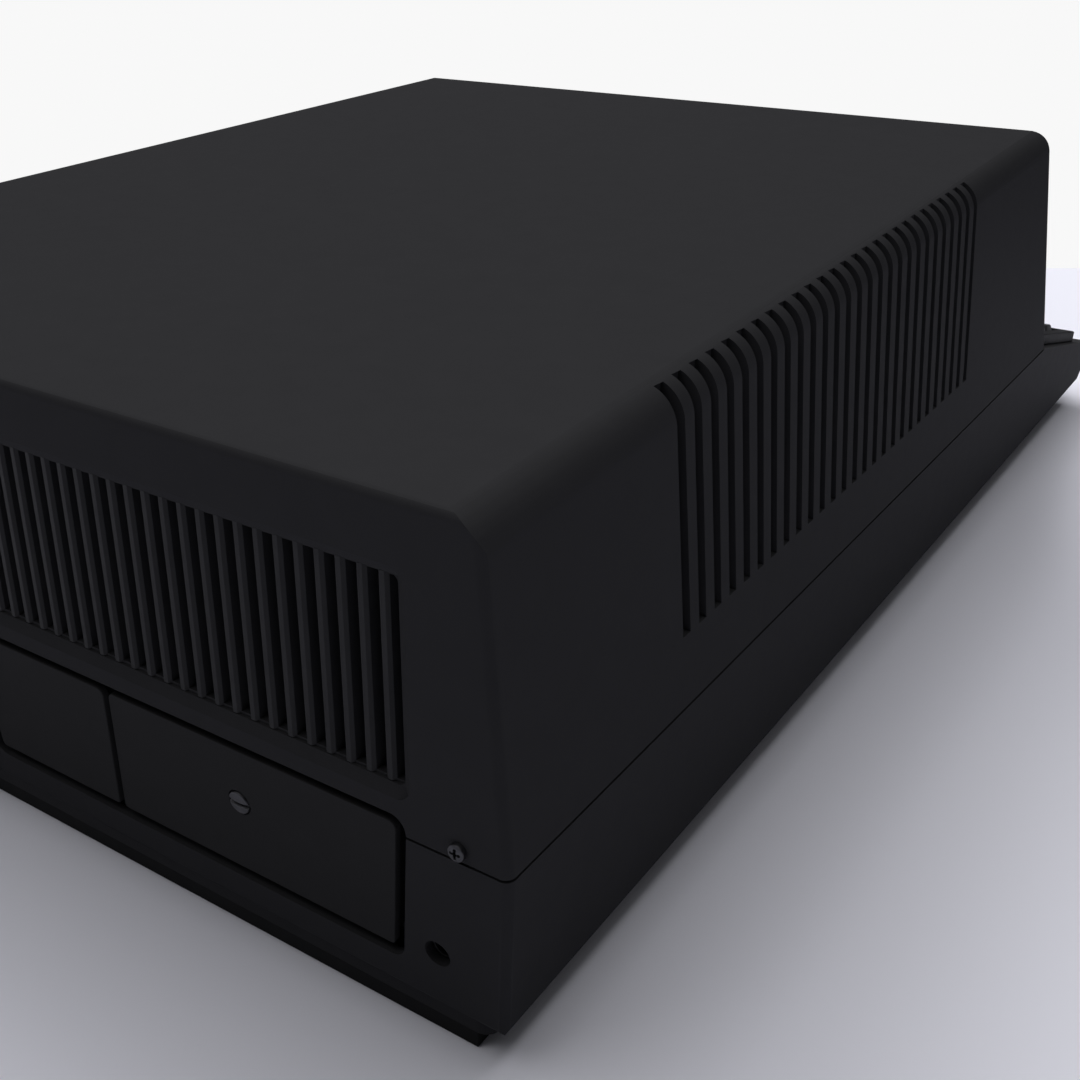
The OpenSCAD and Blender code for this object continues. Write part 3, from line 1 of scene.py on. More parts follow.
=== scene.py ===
# %% [markdown]
# # A vintage home computer, dressed from its imported frame
# The frame is the mechanical model: shells, covers, keys and boards in their places, in metres.
# This lesson keeps every one of those places and gives each piece its finish. The first cell loads
# the frame.

# %% Load the frame
import json
import math

import bmesh
import bpy
import numpy as np
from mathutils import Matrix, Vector


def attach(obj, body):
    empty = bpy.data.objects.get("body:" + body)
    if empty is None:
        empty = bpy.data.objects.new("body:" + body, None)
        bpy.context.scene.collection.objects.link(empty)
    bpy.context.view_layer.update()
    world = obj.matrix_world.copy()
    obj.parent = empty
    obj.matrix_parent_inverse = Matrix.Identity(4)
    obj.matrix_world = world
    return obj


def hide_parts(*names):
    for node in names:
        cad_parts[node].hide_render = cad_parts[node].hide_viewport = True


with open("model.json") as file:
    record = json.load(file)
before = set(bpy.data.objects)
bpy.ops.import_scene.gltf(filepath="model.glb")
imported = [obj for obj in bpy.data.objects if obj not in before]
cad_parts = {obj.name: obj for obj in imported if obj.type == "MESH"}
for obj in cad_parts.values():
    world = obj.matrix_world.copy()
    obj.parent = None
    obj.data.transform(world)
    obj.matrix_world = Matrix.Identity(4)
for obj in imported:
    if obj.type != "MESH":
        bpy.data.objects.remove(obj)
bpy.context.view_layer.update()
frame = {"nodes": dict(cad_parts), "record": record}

nodes = frame["nodes"]
bodies = frame["record"]["behaviour"]["bodies"]
body_of_node = {node: body for body, members in bodies.items() for node in members}

# %% [markdown]
# ## Camera
# The photograph was taken from behind the machine's left rear corner, a little above it. Its
# place, its direction and its field of view were solved from the straight edges of the case. The
# camera isn't rolled, so a bearing and a height above the horizon are enough for its direction.

# %% Camera at the photograph's place
CAMERA_AT = Vector((-0.343745, 0.526738, 0.288362))
BEARING, HEIGHT = math.radians(213.452), math.radians(26.483)
FOCAL_PIXELS, FRAME_PIXELS = 1301.4, 1080.0
SENSOR_MM = 36.0
NEAR_CLIP, FAR_CLIP = 0.01, 60.0


def direction(azimuth, height):
    """Unit vector towards an azimuth a and a height h: (sin a cos h, -cos a cos h, sin h)."""
    level = math.cos(height)
    return Vector((math.sin(azimuth) * level, -math.cos(azimuth) * level, math.sin(height)))


camera_data = bpy.data.cameras.new("camera")
camera_data.sensor_width = SENSOR_MM
camera_data.lens = SENSOR_MM * FOCAL_PIXELS / FRAME_PIXELS
camera_data.clip_start, camera_data.clip_end = NEAR_CLIP, FAR_CLIP
camera = bpy.data.objects.new("camera", camera_data)
bpy.context.scene.collection.objects.link(camera)
backwards = direction(BEARING, HEIGHT)
camera.rotation_mode = "QUATERNION"
camera.rotation_quaternion = (-backwards).to_track_quat("-Z", "Y")
camera.location = CAMERA_AT
bpy.context.scene.camera = camera
print("lens %.2f mm" % camera_data.lens)

# %% [markdown]
# ## Finishes
# A finish is a small tree of shader nodes. Every pattern in it reads Object coordinates, so it
# keeps its size in millimetres on each piece and stays put when the piece moves. Colours are
# given on a scale of 0 to 255, and a shader wants them linear, so one helper converts them.

# %% A blank material and its colours
def new_material(name):
    """An empty node material with its output and one Principled shader."""
    material = bpy.data.materials.new(name)
    material.use_nodes = True
    tree = material.node_tree
    tree.nodes.clear()
    out = tree.nodes.new("ShaderNodeOutputMaterial")
    shader = tree.nodes.new("ShaderNodeBsdfPrincipled")
    tree.links.new(shader.outputs["BSDF"], out.inputs["Surface"])
    return material, tree, shader


def linear(rgb, factor=1.0):
    """A colour of 0 to 255 as linear values times a factor, with alpha 1. A share c is c / 12.92
    up to 0.04045, and ((c + 0.055) / 1.055) to the power 2.4 above."""
    c = np.array(rgb, float) / 255.0
    straight = np.where(c <= 0.04045, c / 12.92, ((c + 0.055) / 1.055) ** 2.4)
    return tuple(straight * factor) + (1.0,)


print("a middle grey of 128 is %.3f to a shader" % linear((128, 128, 128))[0])

# %% [markdown]
# Real surfaces are never even. A noise that is mapped onto two close colours makes the faint
# mottling of a moulding, the same kind of noise on the roughness makes its sheen uneven, and a
# tight one on the bump makes its grain. The scale counts the cells of a noise in a metre.

# %% Noise in object space
GRAIN_SCALE = 1600.0


def noise_on_object(tree, scale, detail=2.0, rough=0.5, stretch=(1, 1, 1)):
    """Noise in object space, with its own stretch, as a factor from 0 to 1."""
    place = tree.nodes.new("ShaderNodeTexCoord")
    mapping = tree.nodes.new("ShaderNodeMapping")
    mapping.inputs["Scale"].default_value = stretch
    noise = tree.nodes.new("ShaderNodeTexNoise")
    noise.inputs["Scale"].default_value = scale
    noise.inputs["Detail"].default_value = detail
    noise.inputs["Roughness"].default_value = rough
    tree.links.new(place.outputs["Object"], mapping.inputs["Vector"])
    tree.links.new(mapping.outputs["Vector"], noise.inputs["Vector"])
    return noise.outputs["Fac"]


print("a grain of scale %.0f has cells of %.1f mm" % (GRAIN_SCALE, 1000 / GRAIN_SCALE))

# %% [markdown]
# A noise gives a factor from 0 to 1. One helper each turns it into a colour, a number or a bump.

# %% What a noise can drive
def ramp_between(tree, factor, low, high, dark, light):
    """Maps a factor onto two colours, dark below low and light above high."""
    ramp = tree.nodes.new("ShaderNodeValToRGB")
    ramp.color_ramp.elements[0].position = low
    ramp.color_ramp.elements[1].position = high
    ramp.color_ramp.elements[0].color = dark
    ramp.color_ramp.elements[1].color = light
    tree.links.new(factor, ramp.inputs["Fac"])
    return ramp.outputs["Color"]


def range_between(tree, factor, low, high):
    """Maps a factor from 0 to 1 onto a number from low to high."""
    span = tree.nodes.new("ShaderNodeMapRange")
    span.inputs["To Min"].default_value = low
    span.inputs["To Max"].default_value = high
    tree.links.new(factor, span.inputs["Value"])
    return span.outputs["Result"]


def bump_from(tree, shader, factor, strength, depth):
    """Puts a bump of that depth in metres on the shader's normal."""
    bump = tree.nodes.new("ShaderNodeBump")
    bump.inputs["Strength"].default_value = strength
    bump.inputs["Distance"].default_value = depth
    tree.links.new(factor, bump.inputs["Height"])
    tree.links.new(bump.outputs["Normal"], shader.inputs["Normal"])


print("a finish can drive colour, roughness and bump")

# %% [markdown]
# ## Moulded plastic and paint
# The case is dark ABS with a fine moulded grain and a satin roughness: a tight noise makes the
# grain in the bump, and two wider, fainter ones the colour and the sheen. Paint on steel, rubber
# and resin differ only in their numbers. The colours follow the photograph where it shows the
# piece. The big mouldings have next to no specular, because their faces stay dark there.

# %% Finishes of the case
MOTTLE_LOW, MOTTLE_HIGH = 0.3, 0.7
CLOUD_SCALE, SHEEN_SCALE = 90.0, 160.0
GRAIN_STRENGTH = 0.35


def plastic(name, rgb, vary=0.05, rough=(0.42, 0.55), grain=GRAIN_SCALE, depth=0.00004,
            specular=0.3):
    """Moulded plastic: faintly uneven colour and sheen, and a fine grain in the bump."""
    material, tree, shader = new_material(name)
    cloud = noise_on_object(tree, CLOUD_SCALE, detail=3.0, rough=0.55)
    colour = ramp_between(tree, cloud, MOTTLE_LOW, MOTTLE_HIGH, linear(rgb, 1 - vary), linear(rgb, 1 + vary))
    tree.links.new(colour, shader.inputs["Base Color"])
    sheen = noise_on_object(tree, SHEEN_SCALE, detail=3.0, rough=0.6)
    tree.links.new(range_between(tree, sheen, *rough), shader.inputs["Roughness"])
    bump_from(tree, shader, noise_on_object(tree, grain, rough=0.6), GRAIN_STRENGTH, depth)
    shader.inputs["Specular IOR Level"].default_value = specular
    return material


case_abs = plastic("case_abs", (48, 48, 50), vary=0.025, rough=(0.56, 0.66), specular=0.012)
cover_abs = plastic("cover_abs", (46, 46, 47), vary=0.025, rough=(0.54, 0.64), specular=0.015)
panel_abs = plastic("panel_abs", (46, 46, 48), rough=(0.5, 0.6), specular=0.06)
grille_abs = plastic("grille_abs", (46, 46, 48), rough=(0.42, 0.52), specular=0.07)
bezel_abs = plastic("bezel_abs", (40, 40, 42), rough=(0.5, 0.6), specular=0.03)
drive_abs = plastic("drive_abs", (27, 27, 29), rough=(0.38, 0.5))
print("case finishes:", case_abs.name, cover_abs.name, panel_abs.name, grille_abs.name, bezel_abs.name)

# %% [markdown]
# The smaller pieces follow what such machines are made of: glossy black fittings, dull rubber,
# powdery paint on sheet steel, two greys of key caps, and a few colours inside. The rear plate's
# near black is partly painted shade, for the dark gaps of the grille in front of it.

# %% Finishes of the small and the inner pieces
socket_plastic = plastic("socket_plastic", (20, 20, 21), rough=(0.25, 0.38), grain=900.0)
rocker_gloss = plastic("rocker_gloss", (26, 26, 27), rough=(0.16, 0.26), grain=700.0, depth=0.00001)
screen_black = plastic("screen_black", (10, 10, 11), rough=(0.6, 0.75), specular=0.1)
foot_rubber = plastic("foot_rubber", (22, 22, 23), rough=(0.7, 0.85), grain=700.0, depth=0.00006,
                      specular=0.15)
pan_paint = plastic("pan_paint", (44, 44, 46), rough=(0.4, 0.52), grain=420.0, depth=0.00003, specular=0.03)
# The rear plate is near black partly from its paint and partly as painted shade for the grille's gaps.
plate_paint_with_painted_shade = plastic("plate_paint_with_painted_shade", (24, 24, 26), rough=(0.35, 0.5), grain=420.0, depth=0.00003)
cap_surface = {"rough": (0.42, 0.54), "grain": 2200.0, "depth": 0.00003, "specular": 0.12}
key_abs = plastic("key_abs", (46, 46, 48), **cap_surface)
key_grey_abs = plastic("key_grey_abs", (66, 66, 69), **cap_surface)
chip_epoxy = plastic("chip_epoxy", (30, 30, 31), rough=(0.5, 0.65), grain=1200.0)
connector_blue = plastic("connector_blue", (38, 58, 104), rough=(0.35, 0.45))
laminate_brown = plastic("laminate_brown", (122, 92, 52), vary=0.16, rough=(0.5, 0.65), grain=300.0)
sleeve_blue = plastic("sleeve_blue", (34, 56, 128), rough=(0.2, 0.3), depth=0.00001)
lamp_red = plastic("lamp_red", (176, 26, 20), vary=0.15, rough=(0.08, 0.14), depth=0.00001, specular=0.6)
button_red = plastic("button_red", (142, 40, 32), rough=(0.3, 0.4))
speaker_paint = plastic("speaker_paint", (62, 62, 65), rough=(0.3, 0.45))
print("materials so far, with the frame's own:", len(bpy.data.materials))

# %% [markdown]
# ## Bare metal
# Metal has no colour of its own apart from what it reflects. What tells one metal from another
# is its tint, how rough it is, and the streaks that a brush or a roller leaves. So one noise,
# stretched where the metal is brushed, drives the colour, the roughness and the bump together.

# %% Finishes of the metal pieces
STREAK_SCALE, STREAK_STRENGTH, STREAK_DEPTH = 260.0, 0.2, 0.00002


def metal(name, rgb, rough=(0.28, 0.42), brush=(1, 1, 1), vary=0.08):
    """Bare metal: brushed along one axis where the stretch says so."""
    material, tree, shader = new_material(name)
    streak = noise_on_object(tree, STREAK_SCALE, detail=4.0, rough=0.6, stretch=brush)
    colour = ramp_between(tree, streak, MOTTLE_LOW, MOTTLE_HIGH, linear(rgb, 1 - vary), linear(rgb, 1 + vary))
    tree.links.new(colour, shader.inputs["Base Color"])
    tree.links.new(range_between(tree, streak, *rough), shader.inputs["Roughness"])
    bump_from(tree, shader, streak, STREAK_STRENGTH, STREAK_DEPTH)
    shader.inputs["Metallic"].default_value = 1.0
    return material


screw_black = metal("screw_black", (74, 74, 77), rough=(0.38, 0.5))
nickel = metal("nickel", (190, 190, 192), rough=(0.18, 0.3))
sheet_aluminium = metal("sheet_aluminium", (188, 190, 192), rough=(0.3, 0.45), brush=(1, 14, 1))
cast_metal = metal("cast_metal", (150, 152, 154), rough=(0.45, 0.6), vary=0.14)
turned_brass = metal("turned_brass", (206, 172, 92), rough=(0.2, 0.3))
core_steel = metal("core_steel", (104, 104, 108), rough=(0.45, 0.6), brush=(1, 1, 30))
print("materials with the metals:", len(bpy.data.materials))

# %% [markdown]
# ## Circuit boards
# A board is green because of the mask on it, and its tracks show through as lighter lines. A
# brick pattern gives such a grid of lines from a few numbers, and lifts them a little in the bump.

# %% Finish of the boards
TRACKS_SCALE, TRACK_WIDTH = 60.0, 0.06
MASK_DARKER, TRACK_LIGHTER = 0.8, 1.7
MASK_ROUGH, MASK_BLOTCHES = (0.2, 0.34), 90.0
TRACK_STRENGTH, TRACK_DEPTH = 0.4, 0.00005


def board_mask(name, rgb):
    """Circuit board: cells of mask in two greens, with lighter tracks as the joints between them."""
    material, tree, shader = new_material(name)
    place = tree.nodes.new("ShaderNodeTexCoord")
    bricks = tree.nodes.new("ShaderNodeTexBrick")
    bricks.inputs["Scale"].default_value = TRACKS_SCALE
    bricks.inputs["Mortar Size"].default_value = TRACK_WIDTH
    bricks.inputs["Color1"].default_value = linear(rgb)
    bricks.inputs["Color2"].default_value = linear(rgb, MASK_DARKER)
    bricks.inputs["Mortar"].default_value = linear(rgb, TRACK_LIGHTER)
    tree.links.new(place.outputs["Object"], bricks.inputs["Vector"])
    tree.links.new(bricks.outputs["Color"], shader.inputs["Base Color"])
    blotches = noise_on_object(tree, MASK_BLOTCHES)
    tree.links.new(range_between(tree, blotches, *MASK_ROUGH), shader.inputs["Roughness"])
    bump_from(tree, shader, bricks.outputs["Fac"], TRACK_STRENGTH, TRACK_DEPTH)
    return material


board_green = board_mask("board_green", (24, 84, 46))
print("materials with the board:", len(bpy.data.materials))

# %% [markdown]
# ## Shading normals
# A rounded edge only looks right if the wide faces beside it stay flat. Averaging the normals of
# all faces round a point would bend the light over a whole face. Here each corner takes the sum
# of the normals round its point, weighted by area, so a wide face keeps its own normal up to its
# rim and only the narrow strips of the edge turn. What counts as wide is read off the faces first.

# %% The faces of a mesh as arrays
MM = 0.001
WIDE_FACE = 0.5 * MM


def read_faces(mesh):
    """Area, normal and wideness of each face, and the face and the point of each corner. A face
    is wide where its area over its perimeter passes WIDE_FACE."""
    faces, corners = len(mesh.polygons), len(mesh.loops)
    area, normal = np.empty(faces), np.empty(faces * 3)
    start, sides = np.empty(faces, np.int32), np.empty(faces, np.int32)
    point, place = np.empty(corners, np.int32), np.empty(len(mesh.vertices) * 3)
    mesh.polygons.foreach_get("area", area)
    mesh.polygons.foreach_get("normal", normal)
    mesh.polygons.foreach_get("loop_start", start)
    mesh.polygons.foreach_get("loop_total", sides)
    mesh.loops.foreach_get("vertex_index", point)
    mesh.vertices.foreach_get("co", place)
    place = place.reshape(-1, 3)
    face = np.repeat(np.arange(faces), sides)
    after = np.arange(corners) + 1
    after[start + sides - 1] = start
    side = np.linalg.norm(place[point[after]] - place[point], axis=1)
    is_wide = area > WIDE_FACE * np.bincount(face, side, faces)
    return area, normal.reshape(-1, 3), is_wide, face, point


print("a face is wide past %.1f mm of area over perimeter" % (WIDE_FACE / MM))

# %% [markdown]
# Faces round a point are only mixed where they turn little from one another, so a sharp corner
# stays sharp. Two wide faces are mixed only where they are nearly in line.

# %% Normals from the faces round each point
MIXED_BELOW, WIDE_MIXED_BELOW = 50.0, 12.0
TINY = 1e-30


def corner_shading(mesh):
    """Normal of corner i = sum of area_j * normal_j over the corners j at the same point whose
    faces turn from i's face by less than the limit, which is narrower where both are wide.
    The corners are sorted by point, and step pairs each one with the one that many places on."""
    area, normal, is_wide, face, point = read_faces(mesh)
    cosine, wide_cosine = np.cos(np.radians([MIXED_BELOW, WIDE_MIXED_BELOW]))
    weighted = area[:, None] * normal
    total = weighted[face]
    order = np.argsort(point, kind="stable")
    sorted_point = point[order]
    for step in range(1, int(np.bincount(point).max())):
        same = sorted_point[step:] == sorted_point[:-step]
        one, other = order[:-step][same], order[step:][same]
        a, b = face[one], face[other]
        limit = np.where(is_wide[a] & is_wide[b], wide_cosine, cosine)
        near = (normal[a] * normal[b]).sum(1) > limit
        total[one[near]] += weighted[b[near]]
        total[other[near]] += weighted[a[near]]
    length = np.linalg.norm(total, axis=1, keepdims=True)
    shading = np.where(length > 0, total / np.maximum(length, TINY), normal[face])
    mesh.normals_split_custom_set(shading.tolist())


print("faces are mixed under %.0f degrees, wide ones under %.0f" % (MIXED_BELOW, WIDE_MIXED_BELOW))

# %% [markdown]
# ## Soft edges on moulded and pressed pieces
# A frame node has knife edges, and real plastic never has: every edge carries a small radius that
# catches the light. A copy of the node is merged, its flat faces are joined again, and a Bevel
# rounds its edges. The bevelled mesh is kept in place of the modifier, because its shading
# normals are set next. The node itself stays as it is for the mechanics, hidden.

# %% A copy of a node with rounded edges
MERGE_WITHIN = 2e-6
FLAT_WITHIN, EDGE_FROM = math.radians(0.4), math.radians(28.0)
BEVEL_STEPS = 2


def dress(obj, material, node):
    """Puts the finish on a piece, says what it rides on, and hides the node that it stands for."""
    obj.data.materials.clear()
    obj.data.materials.append(material)
    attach(obj, body_of_node[node])
    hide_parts(node)
    return obj


def softened(node, material, radius):
    """Copy of a node: points merged, coplanar triangles joined, edges over EDGE_FROM rounded."""
    obj = bpy.data.objects.new(node + "_soft", nodes[node].data.copy())
    bpy.context.scene.collection.objects.link(obj)
    bm = bmesh.new()
    bm.from_mesh(obj.data)
    bmesh.ops.remove_doubles(bm, verts=bm.verts, dist=MERGE_WITHIN)
    bmesh.ops.dissolve_limit(bm, angle_limit=FLAT_WITHIN, verts=bm.verts, edges=bm.edges)
    for face in bm.faces:
        face.smooth = True
    bm.to_mesh(obj.data)
    bm.free()
    bevel = obj.modifiers.new("edge_radius", "BEVEL")
    bevel.width = radius
    bevel.segments = BEVEL_STEPS
    bevel.limit_method = "ANGLE"
    bevel.angle_limit = EDGE_FROM
    bevel.use_clamp_overlap = True
    bpy.context.view_layer.update()
    bevelled = obj.evaluated_get(bpy.context.evaluated_depsgraph_get())
    finished = bpy.data.meshes.new_from_object(bevelled)
    obj.modifiers.clear()
    obj.data = finished
    corner_shading(finished)
    return dress(obj, material, node)


print("edges over %.0f degrees get their radius" % math.degrees(EDGE_FROM))

# %% [markdown]
# ## Shells, covers and panels
# The large mouldings keep the frame's shapes, which were measured off the photograph, and get the
# small radius that a moulding tool leaves: about half a millimetre on outside edges. The table
# gives each node its finish, its edge radius in millimetres and its slot.

# %% Mouldings and pressings with soft edges
soft_pieces = {
    "upper_shell": (case_abs, 0.45, "case_plastic"),
    "lower_shell": (case_abs, 0.45, "case_plastic"),
    "expansion_cover": (cover_abs, 0.4, "cover_plastic"),
    "port_cover": (cover_abs, 0.4, "cover_plastic"),
    "rear_grille": (grille_abs, 0.22, "grille_plastic"),
    "front_panel": (panel_abs, 0.35, "panel_plastic"),
    "keyboard_bezel": (bezel_abs, 0.7, "bezel_plastic"),
    "drive_bezel": (drive_abs, 0.5, "drive_black"),
    "base_pan": (pan_paint, 0.4, "pan_steel"),
    "mains_inlet": (socket_plastic, 0.25, "socket_black"),
    "switch_frame": (socket_plastic, 0.3, "socket_black"),
    "fuse_holder": (socket_plastic, 0.3, "socket_black"),
    "fan_frame": (socket_plastic, 0.4, "fan_black"),
    # The rear plate's near black holds painted shade for the gaps of the grille.
    "rear_plate": (plate_paint_with_painted_shade, 0.15, "plate_steel"),
    "rear_ports": (nickel, 0.25, "port_metal"),
    "jack_socket": (socket_plastic, 0.3, "socket_black"),
    "drive_frame": (cast_metal, 0.3, "drive_metal"),
    "transformer": (core_steel, 0.4, "core_steel"),
    "rear_foot_strip": (foot_rubber, 0.25, "foot_rubber"),
    "front_foot_strip": (foot_rubber, 0.25, "foot_rubber"),
    "power_rocker": (rocker_gloss, 0.6, "rocker_black"),
    "drive_lever": (drive_abs, 1.2, "drive_black"),
    "base_screws": (screw_black, 0.4, "screw_steel"),
}
softened_faces = 0
for node, (material, radius, slot) in soft_pieces.items():
    softened_faces += len(softened(node, material, radius * MM).data.polygons)
print("softened:", len(soft_pieces), "pieces with", softened_faces, "faces")

# %% [markdown]
# ## Pieces that keep the frame's mesh
# Boards, chips, sheet metal and the fan lie inside and are seen only through slots, if at all.
# Their own mesh is good enough, so they just get a finish.

# %% Finishes of the nodes that keep their mesh
plain_nodes = {
    "vent_screens": screen_black, "main_board": board_green, "board_standoffs": turned_brass,
    "board_chips": chip_epoxy, "expansion_sockets": connector_blue, "controller_card": board_green,
    "memory_card": board_green, "supply_chassis": sheet_aluminium, "supply_board": laminate_brown,
    "filter_capacitors": sleeve_blue, "fan_rotor": socket_plastic, "speaker": speaker_paint,
    "drive_shelf": sheet_aluminium, "reset_switch": socket_plastic, "keyboard_plate": pan_paint,
    "keyboard_board": board_green, "key_switches": chip_epoxy,
}
for node, material in plain_nodes.items():
    nodes[node].data.materials.clear()
    nodes[node].data.materials.append(material)
print("finished as they are:", len(plain_nodes))

# %% [markdown]
# ## From a grid of points to a piece
# Every new piece is a grid of points: a function of two parameters, worked out as whole numpy
# arrays. Each row runs round the shape and meets its own start, and neighbouring points are
# joined into quads. The first and the last row are closed by a fan of triangles round one point.

# %% Faces of a grid
def grid_faces(rows, columns):
    """Quads of a grid of rows by columns points, counted row by row.
    Each quad joins (r, c), (r, c+1), (r+1, c+1), (r+1, c), and the last column meets the first."""
    r, c = np.meshgrid(np.arange(rows - 1), np.arange(columns), indexing="ij")
    row, after = r * columns, (c + 1) % columns
    above = row + columns
    return np.stack([row + c, row + after, above + after, above + c], -1).reshape(-1, 4).tolist()


def closed_tube(grid):
    """Points and faces of a grid whose first and last rows are each closed by a fan."""
    rows, columns = grid.shape[:2]
    points = np.concatenate([grid.reshape(-1, 3), grid[0].mean(0)[None], grid[-1].mean(0)[None]])
    faces = grid_faces(rows, columns)
    first, last, base = rows * columns, rows * columns + 1, (rows - 1) * columns
    faces += [[(i + 1) % columns, i, first] for i in range(columns)]
    faces += [[base + i, base + (i + 1) % columns, last] for i in range(columns)]
    return points, faces


def joined(grids):
    """Points and faces of several closed grids as one mesh."""
    points, faces, count = [], [], 0
    for grid in grids:
        tube_points, tube_faces = closed_tube(grid)
        faces += [[i + count for i in face] for face in tube_faces]
        points.append(tube_points)
        count += len(tube_points)
    return np.concatenate(points), faces


print("quads in a ring of two rows of 20 points:", len(grid_faces(2, 20)))

# %% [markdown]
# Points at the same place are then merged, so that the piece is one closed skin, and all faces
# turn outwards. Edges under a crease angle are shaded smooth, and sharper ones stay edges.

# %% From points and faces to a dressed piece
WELD = 1e-7


def finish_faces(mesh, crease):
    """Merges a closed mesh, turns its faces outwards and smooths all edges under the crease angle."""
    bm = bmesh.new()
    bm.from_mesh(mesh)
    bmesh.ops.remove_doubles(bm, verts=bm.verts, dist=WELD)
    bmesh.ops.recalc_face_normals(bm, faces=bm.faces)
    for face in bm.faces:
        face.smooth = True
    for edge in bm.edges:
        edge.smooth = len(edge.link_faces) == 2 and edge.calc_face_angle(0.0) < math.radians(crease)
    bm.to_mesh(mesh)
    bm.free()


def add_piece(name, points, faces, crease, material, node):
    """Makes a piece from points in metres and faces, and dresses it in place of its node."""
    mesh = bpy.data.meshes.new(name)
    mesh.from_pydata(points.tolist(), [], faces)
    mesh.update()
    finish_faces(mesh, crease)
    obj = bpy.data.objects.new(name, mesh)
    bpy.context.scene.collection.objects.link(obj)
    return dress(obj, material, node)


print("points closer than %.4f mm are merged" % (WELD / MM))

# %% [markdown]
# ## Places on the leaning faces
# The back, the front and the keyboard deck all lean, each with its own frame in the source. The
# functions below turn millimetres in one of these frames into metres in the machine, so a piece
# is drawn flat and upright first and leans afterwards, as its node does.

# %% Frames of the leaning faces
BACK_Y, SEAM_LENGTH, SEAM_Z = 324.2533, 502.0, 70.0
FRONT_Y = BACK_Y - SEAM_LENGTH
UPPER_LEAN, LOWER_LEAN, FRONT_LEAN, DECK_SLOPE = 1.4, -4.5, -12.75, 13.6


def on_face(points, seam_y, lean):
    """Turns points about the X axis by the lean in degrees and moves them to the seam, from
    millimetres to metres. y' = seam y + y cos a - z sin a, z' = seam z + y sin a + z cos a."""
    x, y, z = points[..., 0], points[..., 1], points[..., 2]
    cos, sin = math.cos(math.radians(lean)), math.sin(math.radians(lean))
    return np.stack([x, seam_y + y * cos - z * sin, SEAM_Z + y * sin + z * cos], -1) * MM


def facing_out(points, way):
    """Lays a shape that was drawn along Z with its head towards +Y (way 1) or -Y (way -1).
    A point (x, y, z) goes to (x, way * z, -way * y)."""
    return np.stack([points[..., 0], way * points[..., 2], -way * points[..., 1]], -1)


print("seam from y %.1f to %.1f mm" % (FRONT_Y, BACK_Y))

# %% [markdown]
# ## Key caps
# Caps of that age are tall, with sloping sides, soft corners and a top that is hollowed like a
# shallow trough so that the finger finds it. Each one is a stack of rounded rectangles: the
# inside from its roof down to the foot, which leaves a wall, then the outside up and over the
# shoulder, and inwards across the top. The space bar has a crown in place of the hollow.

# %% Rounded rectangles
def rounded_rings(half_x, half_y, radius, centre_y, per_corner=5):
    """Rounded rectangles, one for each entry of the four lists, as (rings, points, 2).
    Each corner is an arc of the radius about (half - radius) in x and y."""
    sizes = (half_x, half_y, radius, centre_y)
    half_x, half_y, radius, centre_y = (np.asarray(size, float)[:, None] for size in sizes)
    arc = np.linspace(0, np.pi / 2, per_corner)
    angle = np.concatenate([arc + corner * np.pi / 2 for corner in range(4)])
    sign_x = np.repeat([1, -1, -1, 1], per_corner)
    sign_y = np.repeat([1, 1, -1, -1], per_corner)
    x = sign_x * (half_x - radius) + radius * np.cos(angle)
    y = sign_y * (half_y - radius) + radius * np.sin(angle) + centre_y
    return np.stack([x, y], -1)


print("points in a ring:", rounded_rings([1.0], [1.0], [0.5], [0.0]).shape[1])

# %% [markdown]
# The wall of a cap slopes most in front, so its top sits a little back. From the foot to the top a
# lift goes from 0 to 1. The sides stand in by their taper times the lift, and the corners' radius
# grows with it. A small inset softens the foot, and a rounded shoulder leads over to the top.

# %% The outside of a key cap
PITCH, CAP_GAP, CAP_H = 19.05, 1.05, 10.0
TAPER_SIDE, TAPER_BACK, TAPER_FRONT = 2.9, 1.6, 3.0
FOOT_SOFT, CORNER_FOOT_R, CORNER_GROWTH = 0.25, 0.6, 1.6
SHOULDER_R, SHOULDER_IN, SHOULDER_START, SHOULDER_RINGS = 0.9, 0.6, 0.15, 4
WALL_LIFTS, WALL_INSETS = [0.0, 0.0, 0.25, 0.5, 0.75, 0.92], [FOOT_SOFT, 0.0, 0.0, 0.0, 0.0, 0.0]


def cap_outside(width, length):
    """Rings of the wall and the shoulder, their heights, and half sizes and middle of the last one.
    Half width = width / 2 - taper * lift - inset. Over the shoulder, with an angle t, the lift is
    1 - (radius / height) * (1 - sin t) and the inset is in * radius * (1 - cos t)."""
    turn = np.linspace(SHOULDER_START, 1.0, SHOULDER_RINGS) * np.pi / 2
    lift = np.concatenate([WALL_LIFTS, 1 - SHOULDER_R / CAP_H * (1 - np.sin(turn))])
    inset = np.concatenate([WALL_INSETS, SHOULDER_R * (1 - np.cos(turn)) * SHOULDER_IN])
    front, back = TAPER_FRONT * lift + inset, TAPER_BACK * lift + inset
    half_x, half_y = width / 2 - (TAPER_SIDE * lift + inset), (length - front - back) / 2
    middle = (front - back) / 2
    rings = rounded_rings(half_x, half_y, CORNER_FOOT_R + CORNER_GROWTH * lift, middle)
    heights = np.repeat(CAP_H * lift[:, None], rings.shape[1], 1)
    heights[1] = FOOT_SOFT
    return rings, heights, half_x[-1], half_y[-1], middle[-1]


print("rings up the outside:", len(cap_outside(PITCH - CAP_GAP, PITCH - CAP_GAP)[0]))

# %% [markdown]
# The top is hollowed across, like a trough that runs from back to front, and the hollow fades to
# nothing at the rim. The space bar is crowned along instead, so that a thumb rolls over it.

# %% The hollow top
TOP_SHARES, RIM_POWER = np.array([0.9, 0.75, 0.5, 0.25]), 6
CAP_HOLLOW, BAR_CROWN = 0.9, -0.42


